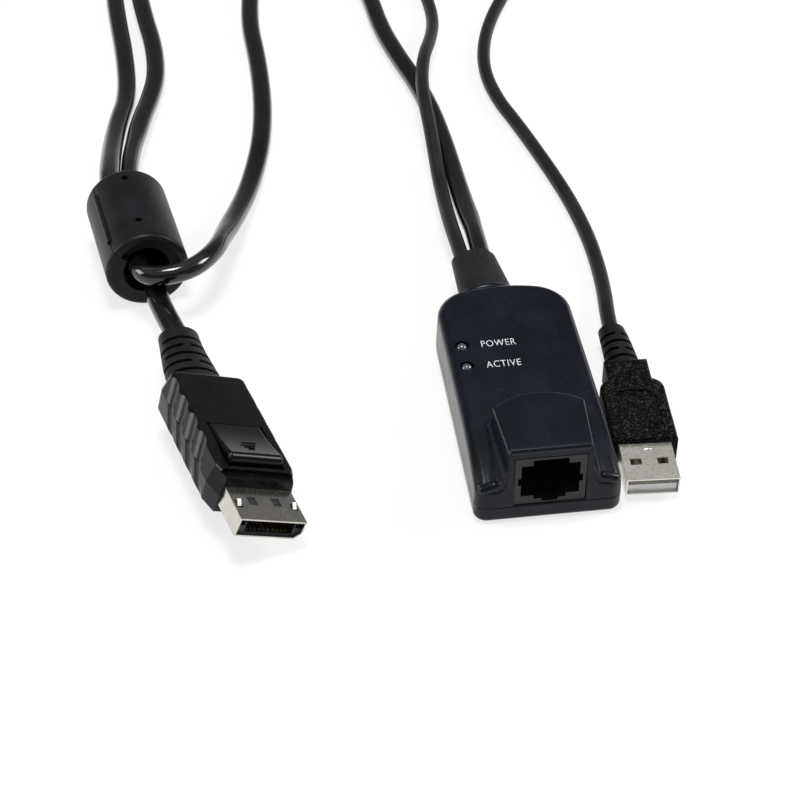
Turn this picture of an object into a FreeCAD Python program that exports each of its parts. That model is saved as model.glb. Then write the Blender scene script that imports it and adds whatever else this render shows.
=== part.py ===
import FreeCAD, Part
import math
import os

# A server adapter: a two-part case with a network jack, a gland with two cords,
# a hinged ferrite clamp, a latching video plug and a data plug. Millimetres, +Z up,
# jack opening towards -Y, origin under the middle of the case and its gland.

V = FreeCAD.Vector
X = V(1, 0, 0)
Y = V(0, 1, 0)
Z = V(0, 0, 1)

doc = FreeCAD.newDocument("adapter")
sheet = doc.addObject("Spreadsheet::Sheet", "Sizes")

SIZES = {
    # case
    "overall_length": 87.5,
    "case_length": 70.5,
    "case_width": 33.2,
    "base_height": 4.4,
    "body_height": 13.0,
    "front_height": 9.3,
    "slope_length": 26.0,
    "wall": 1.8,
    "floor_thickness": 1.6,
    "draft_angle": 2.5,
    "front_corner": 3.0,
    "rear_corner": 10.0,
    "rear_bow": 36.0,
    "body_edge": 2.4,
    "base_edge": 1.5,
    "seam_groove": 0.3,
    # hood over the jack
    "hood_roof": 2.1,
    "hood_front_width": 18.6,
    "hood_rear_width": 20.7,
    "hood_length": 20.5,
    "hood_bow": 4.0,
    "hood_edge": 1.0,
    "flare_radius": 2.2,
    "flare_margin": 4.05,
    "lip_radius": 0.8,
    "lip_length": 16.8,
    # network jack
    "jack_width": 15.9,
    "jack_height": 13.3,
    "jack_length": 16.2,
    "jack_recess": 0.5,
    "jack_gap": 0.15,
    "jack_wall": 1.45,
    "jack_floor": 2.4,
    "jack_roof": 2.1,
    "jack_mouth_depth": 13.0,
    "jack_notch_width": 7.9,
    "latch_notch_width": 7.2,
    "contact_pitch": 1.02,
    "contact_width": 0.45,
    "contact_thickness": 0.3,
    # board and what stands on it
    "board_thickness": 1.6,
    "board_gap": 0.3,
    "chip_side": 12.0,
    "chip_height": 1.4,
    "small_chip_side": 8.0,
    "header_width": 11.0,
    "header_depth": 4.0,
    "header_height": 4.5,
    "header_gap": 4.4,
    "chip_gap": 4.05,
    "chip_spacing": 3.5,
    "screw_x": 11.4,
    "screw_radius": 1.0,
    "screw_head_radius": 1.9,
    "screw_head_height": 1.0,
    "screw_rear_y": 12.0,
    "screw_front_y": -34.0,
    "screw_hole_radius": 1.3,
    "screw_length": 6.6,
    "pilot_depth": 2.8,
    "post_radius": 2.5,
    # lamps
    "lamp_inset": 4.1,
    "lamp_front_y": -4.6,
    "lamp_spacing": 7.6,
    "lamp_radius": 1.35,
    "lamp_hole_radius": 1.7,
    "lamp_top": 13.3,
    "lamp_seat": 8.8,
    # gland
    "gland_x": -2.2,
    "gland_z": 7.3,
    "gland_width": 13.6,
    "gland_depth": 9.2,
    "gland_end_width": 11.4,
    "gland_end_depth": 7.4,
    "gland_neck": 0.8,
    "gland_flange": 1.6,
    # cords
    "video_cord": 5.0,
    "data_cord": 3.9,
    # ferrite clamp
    "clamp_radius": 10.5,
    "clamp_length": 31.5,
    "clamp_wall": 1.6,
    "clamp_low_mouth": 6.2,
    "clamp_lip": 2.1,
    "clamp_edge": 1.3,
    "core_gap": 0.3,
    "core_bore": 5.8,
    "clamp_hole_radius": 0.9,
    "clamp_hole_front": 7.7,
    "clamp_hole_rear": 27.3,
    "clamp_hole_angle": 40.0,
    "clamp_x": -85.4,
    "clamp_y": 45.9,
    "clamp_turn": 9.4,
    "clamp_roll": 40.0,
    "tab_length": 7.0,
    "tab_gap": 0.06,
    "hinge_radius": 0.7,
    "hinge_gap": 0.1,
    # video plug
    "plug_shell_width": 16.1,
    "plug_shell_height": 4.76,
    "plug_shell_out": 10.4,
    "plug_shell_in": 4.6,
    "sheet_metal": 0.35,
    "plug_key": 1.6,
    "plug_width": 20.4,
    "plug_length": 39.8,
    "plug_half_height": 5.3,
    "plug_draft": 9.0,
    "plug_corner": 2.5,
    "plug_edge": 0.9,
    "flute_count": 4,
    "flute_pitch": 6.6,
    "flute_radius": 5.4,
    "flute_depth": 0.38,
    "button_width": 13.2,
    "button_gap": 0.35,
    "button_front": 15.4,
    "button_rear": 29.6,
    "button_rise": 7.3,
    "button_floor": 3.0,
    "hook_width": 0.9,
    "hook_front": 4.3,
    "hook_rise": 0.85,
    "mouth_width": 11.6,
    "mouth_height": 3.0,
    "pin_pitch": 1.08,
    "arm_x": 6.75,
    "arm_thickness": 0.5,
    "plug_wall": 1.7,
    "plug_board": 1.2,
    "flute_start": 21.5,
    "flute_slant": 30.0,
    "plug_x": -61.6,
    "plug_y": -48.0,
    "plug_tilt": 24.8,
    "plug_turn": 15.4,
    "plug_lift": 8.5,
    "relief_length": 20.8,
    "relief_base": 14.0,
    "relief_tip": 10.6,
    "relief_shift": 1.8,
    "relief_rows": 5,
    "relief_slot": 1.1,
    # data plug
    "data_shell_width": 12.0,
    "data_shell_height": 4.5,
    "data_shell_out": 12.0,
    "data_shell_in": 5.0,
    "data_metal": 0.3,
    "data_width": 15.2,
    "data_height": 7.8,
    "data_body_length": 20.0,
    "data_neck_length": 8.6,
    "data_neck_width": 10.4,
    "data_edge": 1.0,
    "data_panel_depth": 0.35,
    "data_relief_length": 14.9,
    "data_relief_base": 8.2,
    "data_relief_tip": 6.6,
    "data_relief_rows": 4,
    "tongue_thickness": 1.9,
    "data_x": 24.0,
    "data_y": -41.0,
    "data_turn": -3.5,
}

# sizes that follow from the ones above
SIZES["hood_height"] = "=base_height + jack_height + hood_roof"
SIZES["hood_flare"] = "=min(flare_radius; (case_width - hood_rear_width) / 2 - flare_margin)"
SIZES["clamp_high_mouth"] = "=clamp_radius - clamp_lip"
SIZES["lamp_x"] = "=lamp_inset - case_width / 2"

for row, (name, value) in enumerate(SIZES.items(), 1):
    sheet.set(f"A{row}", name)
    sheet.set(f"B{row}", str(value))
    sheet.setAlias(f"B{row}", name)
doc.recompute()


def size(name):
    return float(getattr(sheet, name))


# places that several pieces share
front = -size("overall_length") / 2
case_rear = front + size("case_length")
gland_end = front + size("overall_length")
half_case = size("case_width") / 2
base_top = size("base_height")
board_bottom = base_top - size("board_thickness")
neck_start = case_rear - size("wall") - 2.4
header_y = neck_start - 0.6 - size("header_gap") - size("header_depth")
small_chip_y = header_y - size("chip_gap") - size("small_chip_side") / 2
main_chip_y = small_chip_y - size("small_chip_side") / 2 - size("chip_spacing") - size("chip_side") / 2
jack_front = front + size("jack_recess")
hood_lean = math.tan(math.radians(size("draft_angle"))) * (size("hood_height") - base_top)

parts = []


def keep(obj, label, place=None):
    # a finished sub-part: it gets its label and its place in the frame
    obj.Label = label
    if place is not None:
        obj.Placement = place
    parts.append(obj)
    return obj


def turned(heading, roll):
    # a turn about the upright axis after a roll about the piece's own length
    return FreeCAD.Rotation(Z, heading).multiply(FreeCAD.Rotation(Y, roll))


# ---------- Part primitives ----------

def box(name, length, width, height, corner):
    solid = doc.addObject("Part::Box", name)
    solid.setExpression("Length", length)
    solid.setExpression("Width", width)
    solid.setExpression("Height", height)
    solid.Placement.Base = V(*corner)
    return solid


def cylinder(name, radius, height, base, axis=Z):
    solid = doc.addObject("Part::Cylinder", name)
    solid.setExpression("Radius", radius)
    solid.setExpression("Height", height)
    solid.Placement = FreeCAD.Placement(V(*base), FreeCAD.Rotation(Z, axis))
    return solid


def cut(name, base, tool):
    result = doc.addObject("Part::Cut", name)
    result.Base = base
    result.Tool = tool
    return result


def fuse(name, pieces):
    result = doc.addObject("Part::MultiFuse", name)
    result.Shapes = pieces
    result.Refine = True
    return result


def group(name, shapes):
    # separate solids of one kind kept in one node
    feature = doc.addObject("Part::Feature", name)
    feature.Shape = Part.makeCompound(shapes)
    return feature


# ---------- PartDesign helpers ----------

def new_body(name):
    return doc.addObject("PartDesign::Body", name)


def sketch_on(body, name, role="XY_Plane", offset=0.0):
    sketch = body.newObject("Sketcher::SketchObject", name)
    plane = [item for item in body.Origin.OriginFeatures if item.Role == role][0]
    sketch.AttachmentSupport = [(plane, "")]
    sketch.MapMode = "FlatFace"
    sketch.AttachmentOffset.Base = V(0, 0, offset)
    return sketch


def polygon(sketch, points):
    corners = [V(x, y, 0) for x, y in points]
    for here, there in zip(corners, corners[1:] + corners[:1]):
        sketch.addGeometry(Part.LineSegment(here, there))


def rectangle(sketch, low_x, low_y, high_x, high_y):
    polygon(sketch, [(low_x, low_y), (high_x, low_y), (high_x, high_y), (low_x, high_y)])


def circle(sketch, x, y, radius):
    sketch.addGeometry(Part.Circle(V(x, y, 0), Z, radius))


def pad(body, sketch, length, both=False, back=False, taper=None):
    feature = body.newObject("PartDesign::Pad", sketch.Name + "_pad")
    feature.Profile = sketch
    feature.setExpression("Length", length)
    feature.Midplane = both
    feature.Reversed = back
    if taper:
        feature.setExpression("TaperAngle", taper)
    return feature


def pocket(body, sketch, length, both=False, back=False):
    feature = body.newObject("PartDesign::Pocket", sketch.Name + "_pocket")
    feature.Profile = sketch
    feature.setExpression("Length", length)
    feature.Midplane = both
    feature.Reversed = back
    return feature


def round_edges(body, base, radius, chosen, kind="PartDesign::Fillet"):
    # fillets or chamfers the edges of base that chosen(edge) picks
    doc.recompute()
    names = []
    for index, edge in enumerate(base.Shape.Edges, 1):
        if chosen(edge):
            names.append(f"Edge{index}")
    feature = body.newObject(kind, base.Name + "_round")
    feature.Base = (base, names)
    if kind == "PartDesign::Fillet":
        feature.setExpression("Radius", radius)
    else:
        feature.setExpression("Size", radius)
    return feature


def level(edge, height, slack=0.02):
    box_ = edge.BoundBox
    return abs(box_.ZMin - height) < slack and abs(box_.ZMax - height) < slack


# ---------- case ----------

def case_outline(sketch, inset=0.0):
    # straight sides, small front corners, and a bowed rear edge with large corners
    half = half_case - inset
    near = front + inset
    far = case_rear - inset
    small = max(size("front_corner") - inset, 0.4)
    large = size("rear_corner") - inset
    bow = size("rear_bow") - inset
    bow_y = far - bow
    turn_y = bow_y + math.sqrt((bow - large) ** 2 - (half - large) ** 2)
    reach = bow / (bow - large)
    meet = (reach * (half - large), bow_y + reach * (turn_y - bow_y))
    lean = math.atan2(turn_y - bow_y, half - large) / 2
    mid = (half - large + large * math.cos(lean), turn_y + large * math.sin(lean))
    slant = small * (1 - math.sqrt(0.5))

    def line(start, end):
        sketch.addGeometry(Part.LineSegment(V(*start, 0), V(*end, 0)))

    def arc(start, middle, end):
        sketch.addGeometry(Part.Arc(V(*start, 0), V(*middle, 0), V(*end, 0)))

    line((-half + small, near), (half - small, near))
    arc((half - small, near), (half - slant, near + slant), (half, near + small))
    line((half, near + small), (half, turn_y))
    arc((half, turn_y), mid, meet)
    arc(meet, (0, far), (-meet[0], meet[1]))
    arc((-meet[0], meet[1]), (-mid[0], mid[1]), (-half, turn_y))
    line((-half, turn_y), (-half, near + small))
    arc((-half, near + small), (-half + slant, near + slant), (-half + small, near))


def hood_outline(sketch):
    # wider at the rear, with a bowed rear edge
    near = front + hood_lean
    rear_side = front + size("hood_length") - size("hood_bow")
    half_front = size("hood_front_width") / 2
    half_rear = size("hood_rear_width") / 2
    rear_mid = front + size("hood_length")
    sketch.addGeometry(Part.LineSegment(V(-half_front, near, 0), V(half_front, near, 0)))
    sketch.addGeometry(Part.LineSegment(V(half_front, near, 0), V(half_rear, rear_side, 0)))
    sketch.addGeometry(Part.Arc(V(half_rear, rear_side, 0), V(0, rear_mid, 0), V(-half_rear, rear_side, 0)))
    sketch.addGeometry(Part.LineSegment(V(-half_rear, rear_side, 0), V(-half_front, near, 0)))


def gland_opening(sketch):
    # where the gland's neck passes the rear wall: two arcs, drawn on the XZ plane
    half_wide = size("gland_width") / 2 - size("gland_neck") + 0.5
    half_deep = size("gland_depth") / 2 - size("gland_neck") + 0.05
    left = V(size("gland_x") - half_wide, size("gland_z"), 0)
    right = V(size("gland_x") + half_wide, size("gland_z"), 0)
    for side in (1, -1):
        sketch.addGeometry(Part.Arc(left, V(size("gland_x"), size("gland_z") + side * half_deep, 0), right))


# ---------- top cover ----------

def is_top_edge(edge):
    box_ = edge.BoundBox
    return box_.ZMin > size("front_height") - 0.1 and box_.YMax > front + 1.5


def on_hood(edge):
    box_ = edge.BoundBox
    hood_half = size("hood_rear_width") / 2
    return box_.YMax < front + size("hood_length") + 1 and abs(box_.Center.x) < hood_half + 0.3


def is_hood_rim(edge):
    return on_hood(edge) and edge.BoundBox.ZMin > size("hood_height") - 0.1


def is_hood_foot(edge):
    box_ = edge.BoundBox
    low = size("front_height") - 1.8
    return on_hood(edge) and box_.ZMin > low and box_.ZMax < size("body_height") + 0.1 and box_.YLength > 3.5


def make_top_cover():
    body = new_body("cover_shell")
    outline = sketch_on(body, "cover_outline", offset=base_top)
    case_outline(outline)
    pad(body, outline, "Sizes.body_height - Sizes.base_height", taper="-Sizes.draft_angle")
    slope = sketch_on(body, "cover_slope", "YZ_Plane")
    drop = size("body_height") - size("front_height")
    run = size("slope_length")
    rise = drop - 0.8 * drop * run ** 2 / (4 * (run ** 2 + drop ** 2))
    top_y = front + run
    above = size("body_height") + 5
    before = front - 2
    slope.addGeometry(Part.Arc(V(front, size("front_height"), 0),
                               V(front + run / 2, size("front_height") + rise, 0),
                               V(top_y, size("body_height"), 0)))
    slope.addGeometry(Part.LineSegment(V(top_y, size("body_height"), 0), V(top_y, above, 0)))
    slope.addGeometry(Part.LineSegment(V(top_y, above, 0), V(before, above, 0)))
    slope.addGeometry(Part.LineSegment(V(before, above, 0), V(before, size("front_height"), 0)))
    slope.addGeometry(Part.LineSegment(V(before, size("front_height"), 0),
                                       V(front, size("front_height"), 0)))
    sloped = pocket(body, slope, "Sizes.case_width + 4", both=True)
    round_edges(body, sloped, "Sizes.body_edge", is_top_edge)
    hood_sketch = sketch_on(body, "hood_sketch", offset=size("hood_height"))
    hood_outline(hood_sketch)
    pad(body, hood_sketch, "Sizes.hood_height - Sizes.base_height - 1", back=True,
        taper="Sizes.draft_angle")

    # inside: a low room at the front, a high one behind it, and the jack's room under the hood
    low_room = sketch_on(body, "low_room", offset=base_top)
    case_outline(low_room, size("wall"))
    pocket(body, low_room, "Sizes.front_height - Sizes.wall - Sizes.base_height", back=True)
    high_room = sketch_on(body, "high_room", offset=base_top)
    inner = half_case - size("wall") - 0.6
    near = front + size("hood_length") + 1.5
    far = case_rear - size("rear_corner") + 2.5
    bay_rear = case_rear - size("wall") - 0.9
    bay_left = size("gland_x") - size("gland_width") / 2 - 0.5
    bay_right = size("gland_x") + size("gland_width") / 2 + 0.5
    polygon(high_room, [(-inner, near), (inner, near), (inner, far), (bay_right, far),
                        (bay_right, bay_rear),
                        (bay_left, bay_rear), (bay_left, far), (-inner, far)])
    pocket(body, high_room, "Sizes.body_height - Sizes.wall - Sizes.base_height", back=True)
    jack_room = sketch_on(body, "jack_room", offset=base_top)
    side = size("jack_width") / 2 + size("jack_gap")
    rectangle(jack_room, -side, front - 2, side, jack_front + size("jack_length") + size("jack_gap"))
    pocket(body, jack_room, "Sizes.jack_height + Sizes.jack_gap", back=True)

    # posts that press the board down, with holes for the screws
    posts = sketch_on(body, "cover_posts", offset=base_top)
    pilots = sketch_on(body, "cover_pilots", offset=base_top)
    for x in (-size("screw_x"), size("screw_x")):
        for y in (size("screw_front_y"), size("screw_rear_y")):
            circle(posts, x, y, size("post_radius"))
            circle(pilots, x, y, size("screw_hole_radius"))
    pad(body, posts, "Sizes.front_height - Sizes.wall - Sizes.base_height + 0.3")
    behind = sketch_on(body, "rear_posts", offset=size("front_height") - size("wall"))
    for x in (-size("screw_x"), size("screw_x")):
        circle(behind, x, size("screw_rear_y"), size("post_radius"))
    pad(body, behind, "Sizes.body_height - Sizes.front_height + 0.3")
    pocket(body, pilots, "Sizes.pilot_depth", back=True)

    # holes for the two lamps and the notch for the gland
    lamp_holes = sketch_on(body, "lamp_holes", offset=size("body_height"))
    for index in range(2):
        circle(lamp_holes, size("lamp_x"), size("lamp_front_y") + index * size("lamp_spacing"),
               size("lamp_hole_radius"))
    pocket(body, lamp_holes, "Sizes.body_height - Sizes.base_height - 1")
    notch = sketch_on(body, "cover_notch", "XZ_Plane", offset=-case_rear - 1)
    gland_opening(notch)
    hollow = pocket(body, notch, "Sizes.wall + 2.6", back=True)
    foot = round_edges(body, hollow, "Sizes.hood_flare", is_hood_foot)
    round_edges(body, foot, "Sizes.hood_edge", is_hood_rim)
    return body


cover_body = make_top_cover()


# a rounded bead with ball ends along the hood's front edge
lip_y = front + hood_lean + size("lip_radius") - 0.12
lip_z = size("hood_height") - size("lip_radius") + 0.45
lip_bar = cylinder("lip_bar", "Sizes.lip_radius", "Sizes.lip_length",
                   (-size("lip_length") / 2, lip_y, lip_z), X)
trim = [lip_bar]
for side in (-1, 1):
    ball = doc.addObject("Part::Sphere", "lip_ball")
    ball.setExpression("Radius", "Sizes.lip_radius")
    ball.Placement.Base = V(side * size("lip_length") / 2, lip_y, lip_z)
    trim.append(ball)
keep(fuse("cover_with_lips", [cover_body] + trim), "top_cover")

# ---------- bottom cover ----------

base = new_body("bottom_cover")
base_outline = sketch_on(base, "base_outline")
case_outline(base_outline)
base_block = pad(base, base_outline, "Sizes.base_height")
base_foot = round_edges(base, base_block, "Sizes.base_edge", lambda edge: level(edge, 0))
round_edges(base, base_foot, "Sizes.seam_groove", lambda edge: level(edge, base_top), "PartDesign::Chamfer")
base_room = sketch_on(base, "base_room", offset=size("floor_thickness"))
case_outline(base_room, size("wall"))
pocket(base, base_room, "Sizes.base_height", back=True)
base_posts = sketch_on(base, "base_posts", offset=size("floor_thickness") - 0.2)
base_holes = sketch_on(base, "base_holes")
head_holes = sketch_on(base, "head_holes")
for x in (-size("screw_x"), size("screw_x")):
    for y in (size("screw_front_y"), size("screw_rear_y")):
        circle(base_posts, x, y, size("post_radius"))
        circle(base_holes, x, y, size("screw_hole_radius"))
        circle(head_holes, x, y, size("screw_head_radius") + 0.25)
pad(base, base_posts, "Sizes.base_height - Sizes.board_thickness - Sizes.floor_thickness + 0.2")
pocket(base, base_holes, "Sizes.base_height", back=True)
pocket(base, head_holes, "Sizes.screw_head_height + 0.2", back=True)
base_notch = sketch_on(base, "base_notch", "XZ_Plane", offset=-case_rear - 1)
gland_opening(base_notch)
pocket(base, base_notch, "Sizes.wall + 2.6", back=True)
keep(base, "bottom_cover")

# ---------- board and what it carries ----------

board = new_body("circuit_board")
board_outline = sketch_on(board, "board_outline", offset=board_bottom)
case_outline(board_outline, size("wall") + size("board_gap"))
pad(board, board_outline, "Sizes.board_thickness")
board_holes = sketch_on(board, "board_holes", offset=board_bottom)
for x in (-size("screw_x"), size("screw_x")):
    for y in (size("screw_front_y"), size("screw_rear_y")):
        circle(board_holes, x, y, size("screw_hole_radius"))
gland_bay = sketch_on(board, "gland_bay", offset=board_bottom)
bay_half = size("gland_width") / 2 + 0.6
rectangle(gland_bay, size("gland_x") - bay_half, case_rear - 6, size("gland_x") + bay_half, case_rear + 2)
pocket(board, board_holes, "Sizes.board_thickness + 0.2", back=True)
pocket(board, gland_bay, "Sizes.board_thickness + 0.2", back=True)
keep(board, "circuit_board")


def make_chip(label, side, place):
    # a moulded package with chamfered upper edges
    body = new_body(label)
    outline = sketch_on(body, label + "_outline")
    half = size(side) / 2
    rectangle(outline, -half, -half, half, half)
    block = pad(body, outline, "Sizes.chip_height")
    round_edges(body, block, "Sizes.chip_height / 4", lambda edge: level(edge, size("chip_height")),
                "PartDesign::Chamfer")
    keep(body, label, FreeCAD.Placement(place, FreeCAD.Rotation()))


make_chip("main_chip", "chip_side", V(2.5, main_chip_y, base_top))
make_chip("video_chip", "small_chip_side", V(1.5, small_chip_y, base_top))

header = new_body("cord_header")
header_outline = sketch_on(header, "header_outline")
half_header = size("header_width") / 2
rectangle(header_outline, -half_header, 0, half_header, size("header_depth"))
pad(header, header_outline, "Sizes.header_height")
header_slot = sketch_on(header, "header_slot", offset=size("header_height"))
rectangle(header_slot, 0.6 - half_header, 0.7, half_header - 0.6, size("header_depth") - 0.7)
pocket(header, header_slot, "Sizes.header_height - 1.2")
keep(header, "cord_header", FreeCAD.Placement(V(size("gland_x"), header_y, base_top), FreeCAD.Rotation()))

screws = []
for x in (-size("screw_x"), size("screw_x")):
    for y in (size("screw_front_y"), size("screw_rear_y")):
        head = cylinder("screw_head", "Sizes.screw_head_radius", "Sizes.screw_head_height", (x, y, 0.2))
        shank = cylinder("screw_shank", "Sizes.screw_radius", "Sizes.screw_length", (x, y, 0.2))
        drive = cylinder("screw_drive", "Sizes.screw_head_radius * 0.45", "Sizes.screw_head_height * 0.6",
                         (x, y, 0.2))
        screws.append(cut("screw", fuse("screw_blank", [head, shank]), drive))
doc.recompute()
keep(group("screw_set", [item.Shape for item in screws]), "case_screws")

# ---------- network jack ----------

jack = new_body("network_jack")
jack_face = sketch_on(jack, "jack_face", "XZ_Plane", offset=-jack_front)
half_jack = size("jack_width") / 2
jack_bottom = base_top
jack_top = base_top + size("jack_height")
rectangle(jack_face, -half_jack, jack_bottom, half_jack, jack_top)
jack_block = pad(jack, jack_face, "Sizes.jack_length", back=True)
mouth = sketch_on(jack, "jack_mouth", "XZ_Plane", offset=-jack_front)
half_mouth = half_jack - size("jack_wall")
mouth_low = jack_bottom + size("jack_floor")
mouth_high = jack_top - size("jack_roof")
half_roof = size("jack_notch_width") / 2
half_latch = size("latch_notch_width") / 2
notch_top = mouth_high + 1.5
polygon(mouth, [(-half_mouth, mouth_low), (-half_latch, mouth_low), (-half_latch, jack_bottom + 1.3),
                (-half_latch / 2, jack_bottom + 1.3), (-half_latch / 2, jack_bottom + 0.5),
                (half_latch / 2, jack_bottom + 0.5), (half_latch / 2, jack_bottom + 1.3),
                (half_latch, jack_bottom + 1.3), (half_latch, mouth_low), (half_mouth, mouth_low),
                (half_mouth, mouth_high), (half_roof, mouth_high), (half_roof, notch_top),
                (-half_roof, notch_top), (-half_roof, mouth_high), (-half_mouth, mouth_high)])
pocket(jack, mouth, "Sizes.jack_mouth_depth")
nicks = sketch_on(jack, "jack_nicks", "XZ_Plane", offset=-jack_front)
for side in (-1, 1):
    edges = sorted([side * (half_mouth - 0.2), side * (half_mouth + 0.7)])
    rectangle(nicks, edges[0], mouth_low + 3.2, edges[1], mouth_low + 5.2)
pocket(jack, nicks, "Sizes.jack_mouth_depth / 3")
keep(jack, "network_jack")


def strip(points, width, thickness, centre_x):
    # a bent strip: a path in the YZ plane, thickness below the path, width along X
    lower = [(y, z - thickness) for y, z in reversed(points)]
    corners = [V(centre_x - width / 2, y, z) for y, z in points + lower]
    return Part.Face(Part.makePolygon(corners + corners[:1])).extrude(V(width, 0, 0))


def contact_row(path, width, thickness, count, pitch):
    return [strip(path, width, thickness, (index - (count - 1) / 2) * pitch) for index in range(count)]


jack_path = [(jack_front + 1.2, notch_top), (jack_front + 2.4, notch_top),
             (jack_front + 10.6, mouth_high - 2.8),
             (jack_front + 11.4, mouth_high - 3.1)]
jack_pins = contact_row(jack_path, size("contact_width"), size("contact_thickness"), 8,
                        size("contact_pitch") * 0.92)
keep(group("jack_pins", jack_pins), "jack_contacts")

# ---------- lamps ----------

spacers = []
for index, label in enumerate(("active_led", "power_led")):
    y = size("lamp_front_y") + index * size("lamp_spacing")
    spacers.append(cylinder("lamp_spacer", "Sizes.lamp_radius + 0.2", "Sizes.lamp_seat - Sizes.base_height",
                            (size("lamp_x"), y, base_top)))
    flange = cylinder(label + "_flange", "Sizes.lamp_radius + 0.2", "0.8",
                      (size("lamp_x"), y, size("lamp_seat")))
    stem = cylinder(label + "_stem", "Sizes.lamp_radius",
                    "Sizes.lamp_top - Sizes.lamp_seat - Sizes.lamp_radius",
                    (size("lamp_x"), y, size("lamp_seat")))
    dome = doc.addObject("Part::Sphere", label + "_dome")
    dome.setExpression("Radius", "Sizes.lamp_radius")
    dome.Placement.Base = V(size("lamp_x"), y, size("lamp_top") - size("lamp_radius"))
    keep(fuse(label, [flange, stem, dome]), label)
doc.recompute()
keep(group("spacer_pair", [item.Shape for item in spacers]), "led_spacers")

# ---------- gland ----------

def oval(name, half_wide, half_deep, x, y, z):
    wire = doc.addObject("Part::Ellipse", name)
    wide = half_wide >= half_deep
    wire.MajorRadius = max(half_wide, half_deep)
    wire.MinorRadius = min(half_wide, half_deep)
    turn = FreeCAD.Rotation(X, 90)
    if not wide:
        turn = turn.multiply(FreeCAD.Rotation(Z, 90))
    wire.Placement = FreeCAD.Placement(V(x, y, z), turn)
    return wire


def loft(name, sections, ruled=False):
    solid = doc.addObject("Part::Loft", name)
    solid.Sections = sections
    solid.Solid = True
    solid.Ruled = ruled
    return solid


gland_half = size("gland_width") / 2
gland_deep = size("gland_depth") / 2
tip_half = size("gland_end_width") / 2
tip_deep = size("gland_end_depth") / 2
tip_x = size("gland_x") - 1.0
outer_start = case_rear + 0.3
gland_sections = [
    oval("gland_s1", gland_half - 0.7, gland_deep - 0.7, size("gland_x"), outer_start, size("gland_z")),
    oval("gland_s2", gland_half, gland_deep, size("gland_x"), outer_start + 1.2, size("gland_z")),
    oval("gland_s3", tip_half, tip_deep, tip_x, gland_end - 0.6, size("gland_z") + 0.3),
    oval("gland_s4", tip_half - 0.6, tip_deep - 0.6, tip_x, gland_end, size("gland_z") + 0.3)]
gland_hull = loft("gland_hull", gland_sections, ruled=True)
neck_half = gland_half - size("gland_neck") - 0.2
neck_deep = gland_deep - size("gland_neck") - 0.2
neck = loft("gland_neck_part", [
    oval("gland_n1", neck_half, neck_deep, size("gland_x"), neck_start, size("gland_z")),
    oval("gland_n2", neck_half, neck_deep, size("gland_x"), outer_start + 0.4, size("gland_z"))])
flange = box("gland_flange_plate", "Sizes.gland_width + 0.4", "Sizes.gland_flange",
             "Sizes.gland_depth - 2.4",
             (size("gland_x") - gland_half - 0.2, neck_start - 0.6, size("gland_z") - gland_deep + 1.2))
keep(fuse("gland_all", [gland_hull, neck, flange]), "cable_gland")

# ---------- ferrite clamp ----------

clamp_place = FreeCAD.Placement(V(size("clamp_x"), size("clamp_y"), size("clamp_radius")),
                                turned(size("clamp_turn"), size("clamp_roll")))
clamp_end = size("clamp_length")
clamp_wall = size("clamp_wall")


def half_turn(label, profile, upper):
    # half of a ring about the clamp's own Y axis
    body = new_body(label)
    sketch = sketch_on(body, label + "_profile")
    polygon(sketch, profile)
    ring = body.newObject("PartDesign::Revolution", label + "_ring")
    ring.Profile = sketch
    ring.ReferenceAxis = (sketch, ["V_Axis"])
    ring.Angle = 180
    ring.Reversed = upper
    return body, ring


def clamp_shell(label, mouth_radius, upper):
    outer = size("clamp_radius")
    inner = outer - clamp_wall
    profile = [(mouth_radius, 0), (outer, 0), (outer, clamp_end), (mouth_radius, clamp_end),
               (mouth_radius, clamp_end - clamp_wall), (inner, clamp_end - clamp_wall),
               (inner, clamp_wall), (mouth_radius, clamp_wall)]
    body, ring = half_turn(label, profile, upper)
    round_edges(body, ring, "Sizes.clamp_edge",
                lambda edge: edge.BoundBox.XLength > 2 * outer - 0.1 and edge.BoundBox.YLength < 0.01)
    return body


def clamp_core(label, upper):
    outer = size("clamp_radius") - clamp_wall - size("core_gap")
    profile = [(size("core_bore"), clamp_wall), (outer, clamp_wall), (outer, clamp_end - clamp_wall),
               (size("core_bore"), clamp_end - clamp_wall)]
    body, ring = half_turn(label, profile, upper)
    return body


lower_shell = clamp_shell("lower_shell", size("clamp_low_mouth"), False)
upper_shell = clamp_shell("upper_shell", size("clamp_high_mouth"), True)
vents = sketch_on(upper_shell, "clamp_holes")
vents.AttachmentOffset = FreeCAD.Placement(V(0, 0, 0), FreeCAD.Rotation(Y, -size("clamp_hole_angle")))
for y in (size("clamp_hole_front"), size("clamp_hole_rear")):
    circle(vents, 0, y, size("clamp_hole_radius"))
pocket(upper_shell, vents, "Sizes.clamp_radius + 1", back=True)
tab = box("snap_tab", "1.2", "Sizes.tab_length", "5.2",
          (size("clamp_radius") + size("tab_gap"), (clamp_end - size("tab_length")) / 2, -3.2))
root = box("snap_root", "2.2", "Sizes.tab_length", "1.8",
           (size("clamp_radius") - 1.2, (clamp_end - size("tab_length")) / 2, 0.2))
hinge_start = (clamp_end - 3 * size("tab_length")) / 2
barrel = cylinder("hinge_barrel", "Sizes.hinge_radius", "Sizes.tab_length * 3",
                  (-size("clamp_radius"), hinge_start, 0), Y)
socket = cylinder("hinge_socket", "Sizes.hinge_radius + Sizes.hinge_gap",
                  "Sizes.tab_length * 3 + 2 * Sizes.hinge_gap",
                  (-size("clamp_radius"), hinge_start - size("hinge_gap"), 0), Y)
keep(cut("lower_all", lower_shell, socket), "ferrite_case_lower", clamp_place)
keep(fuse("upper_all", [upper_shell, tab, root, barrel]), "ferrite_case_upper", clamp_place)
keep(clamp_core("core_low", False), "ferrite_core_lower", clamp_place)
keep(clamp_core("core_high", True), "ferrite_core_upper", clamp_place)

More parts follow.
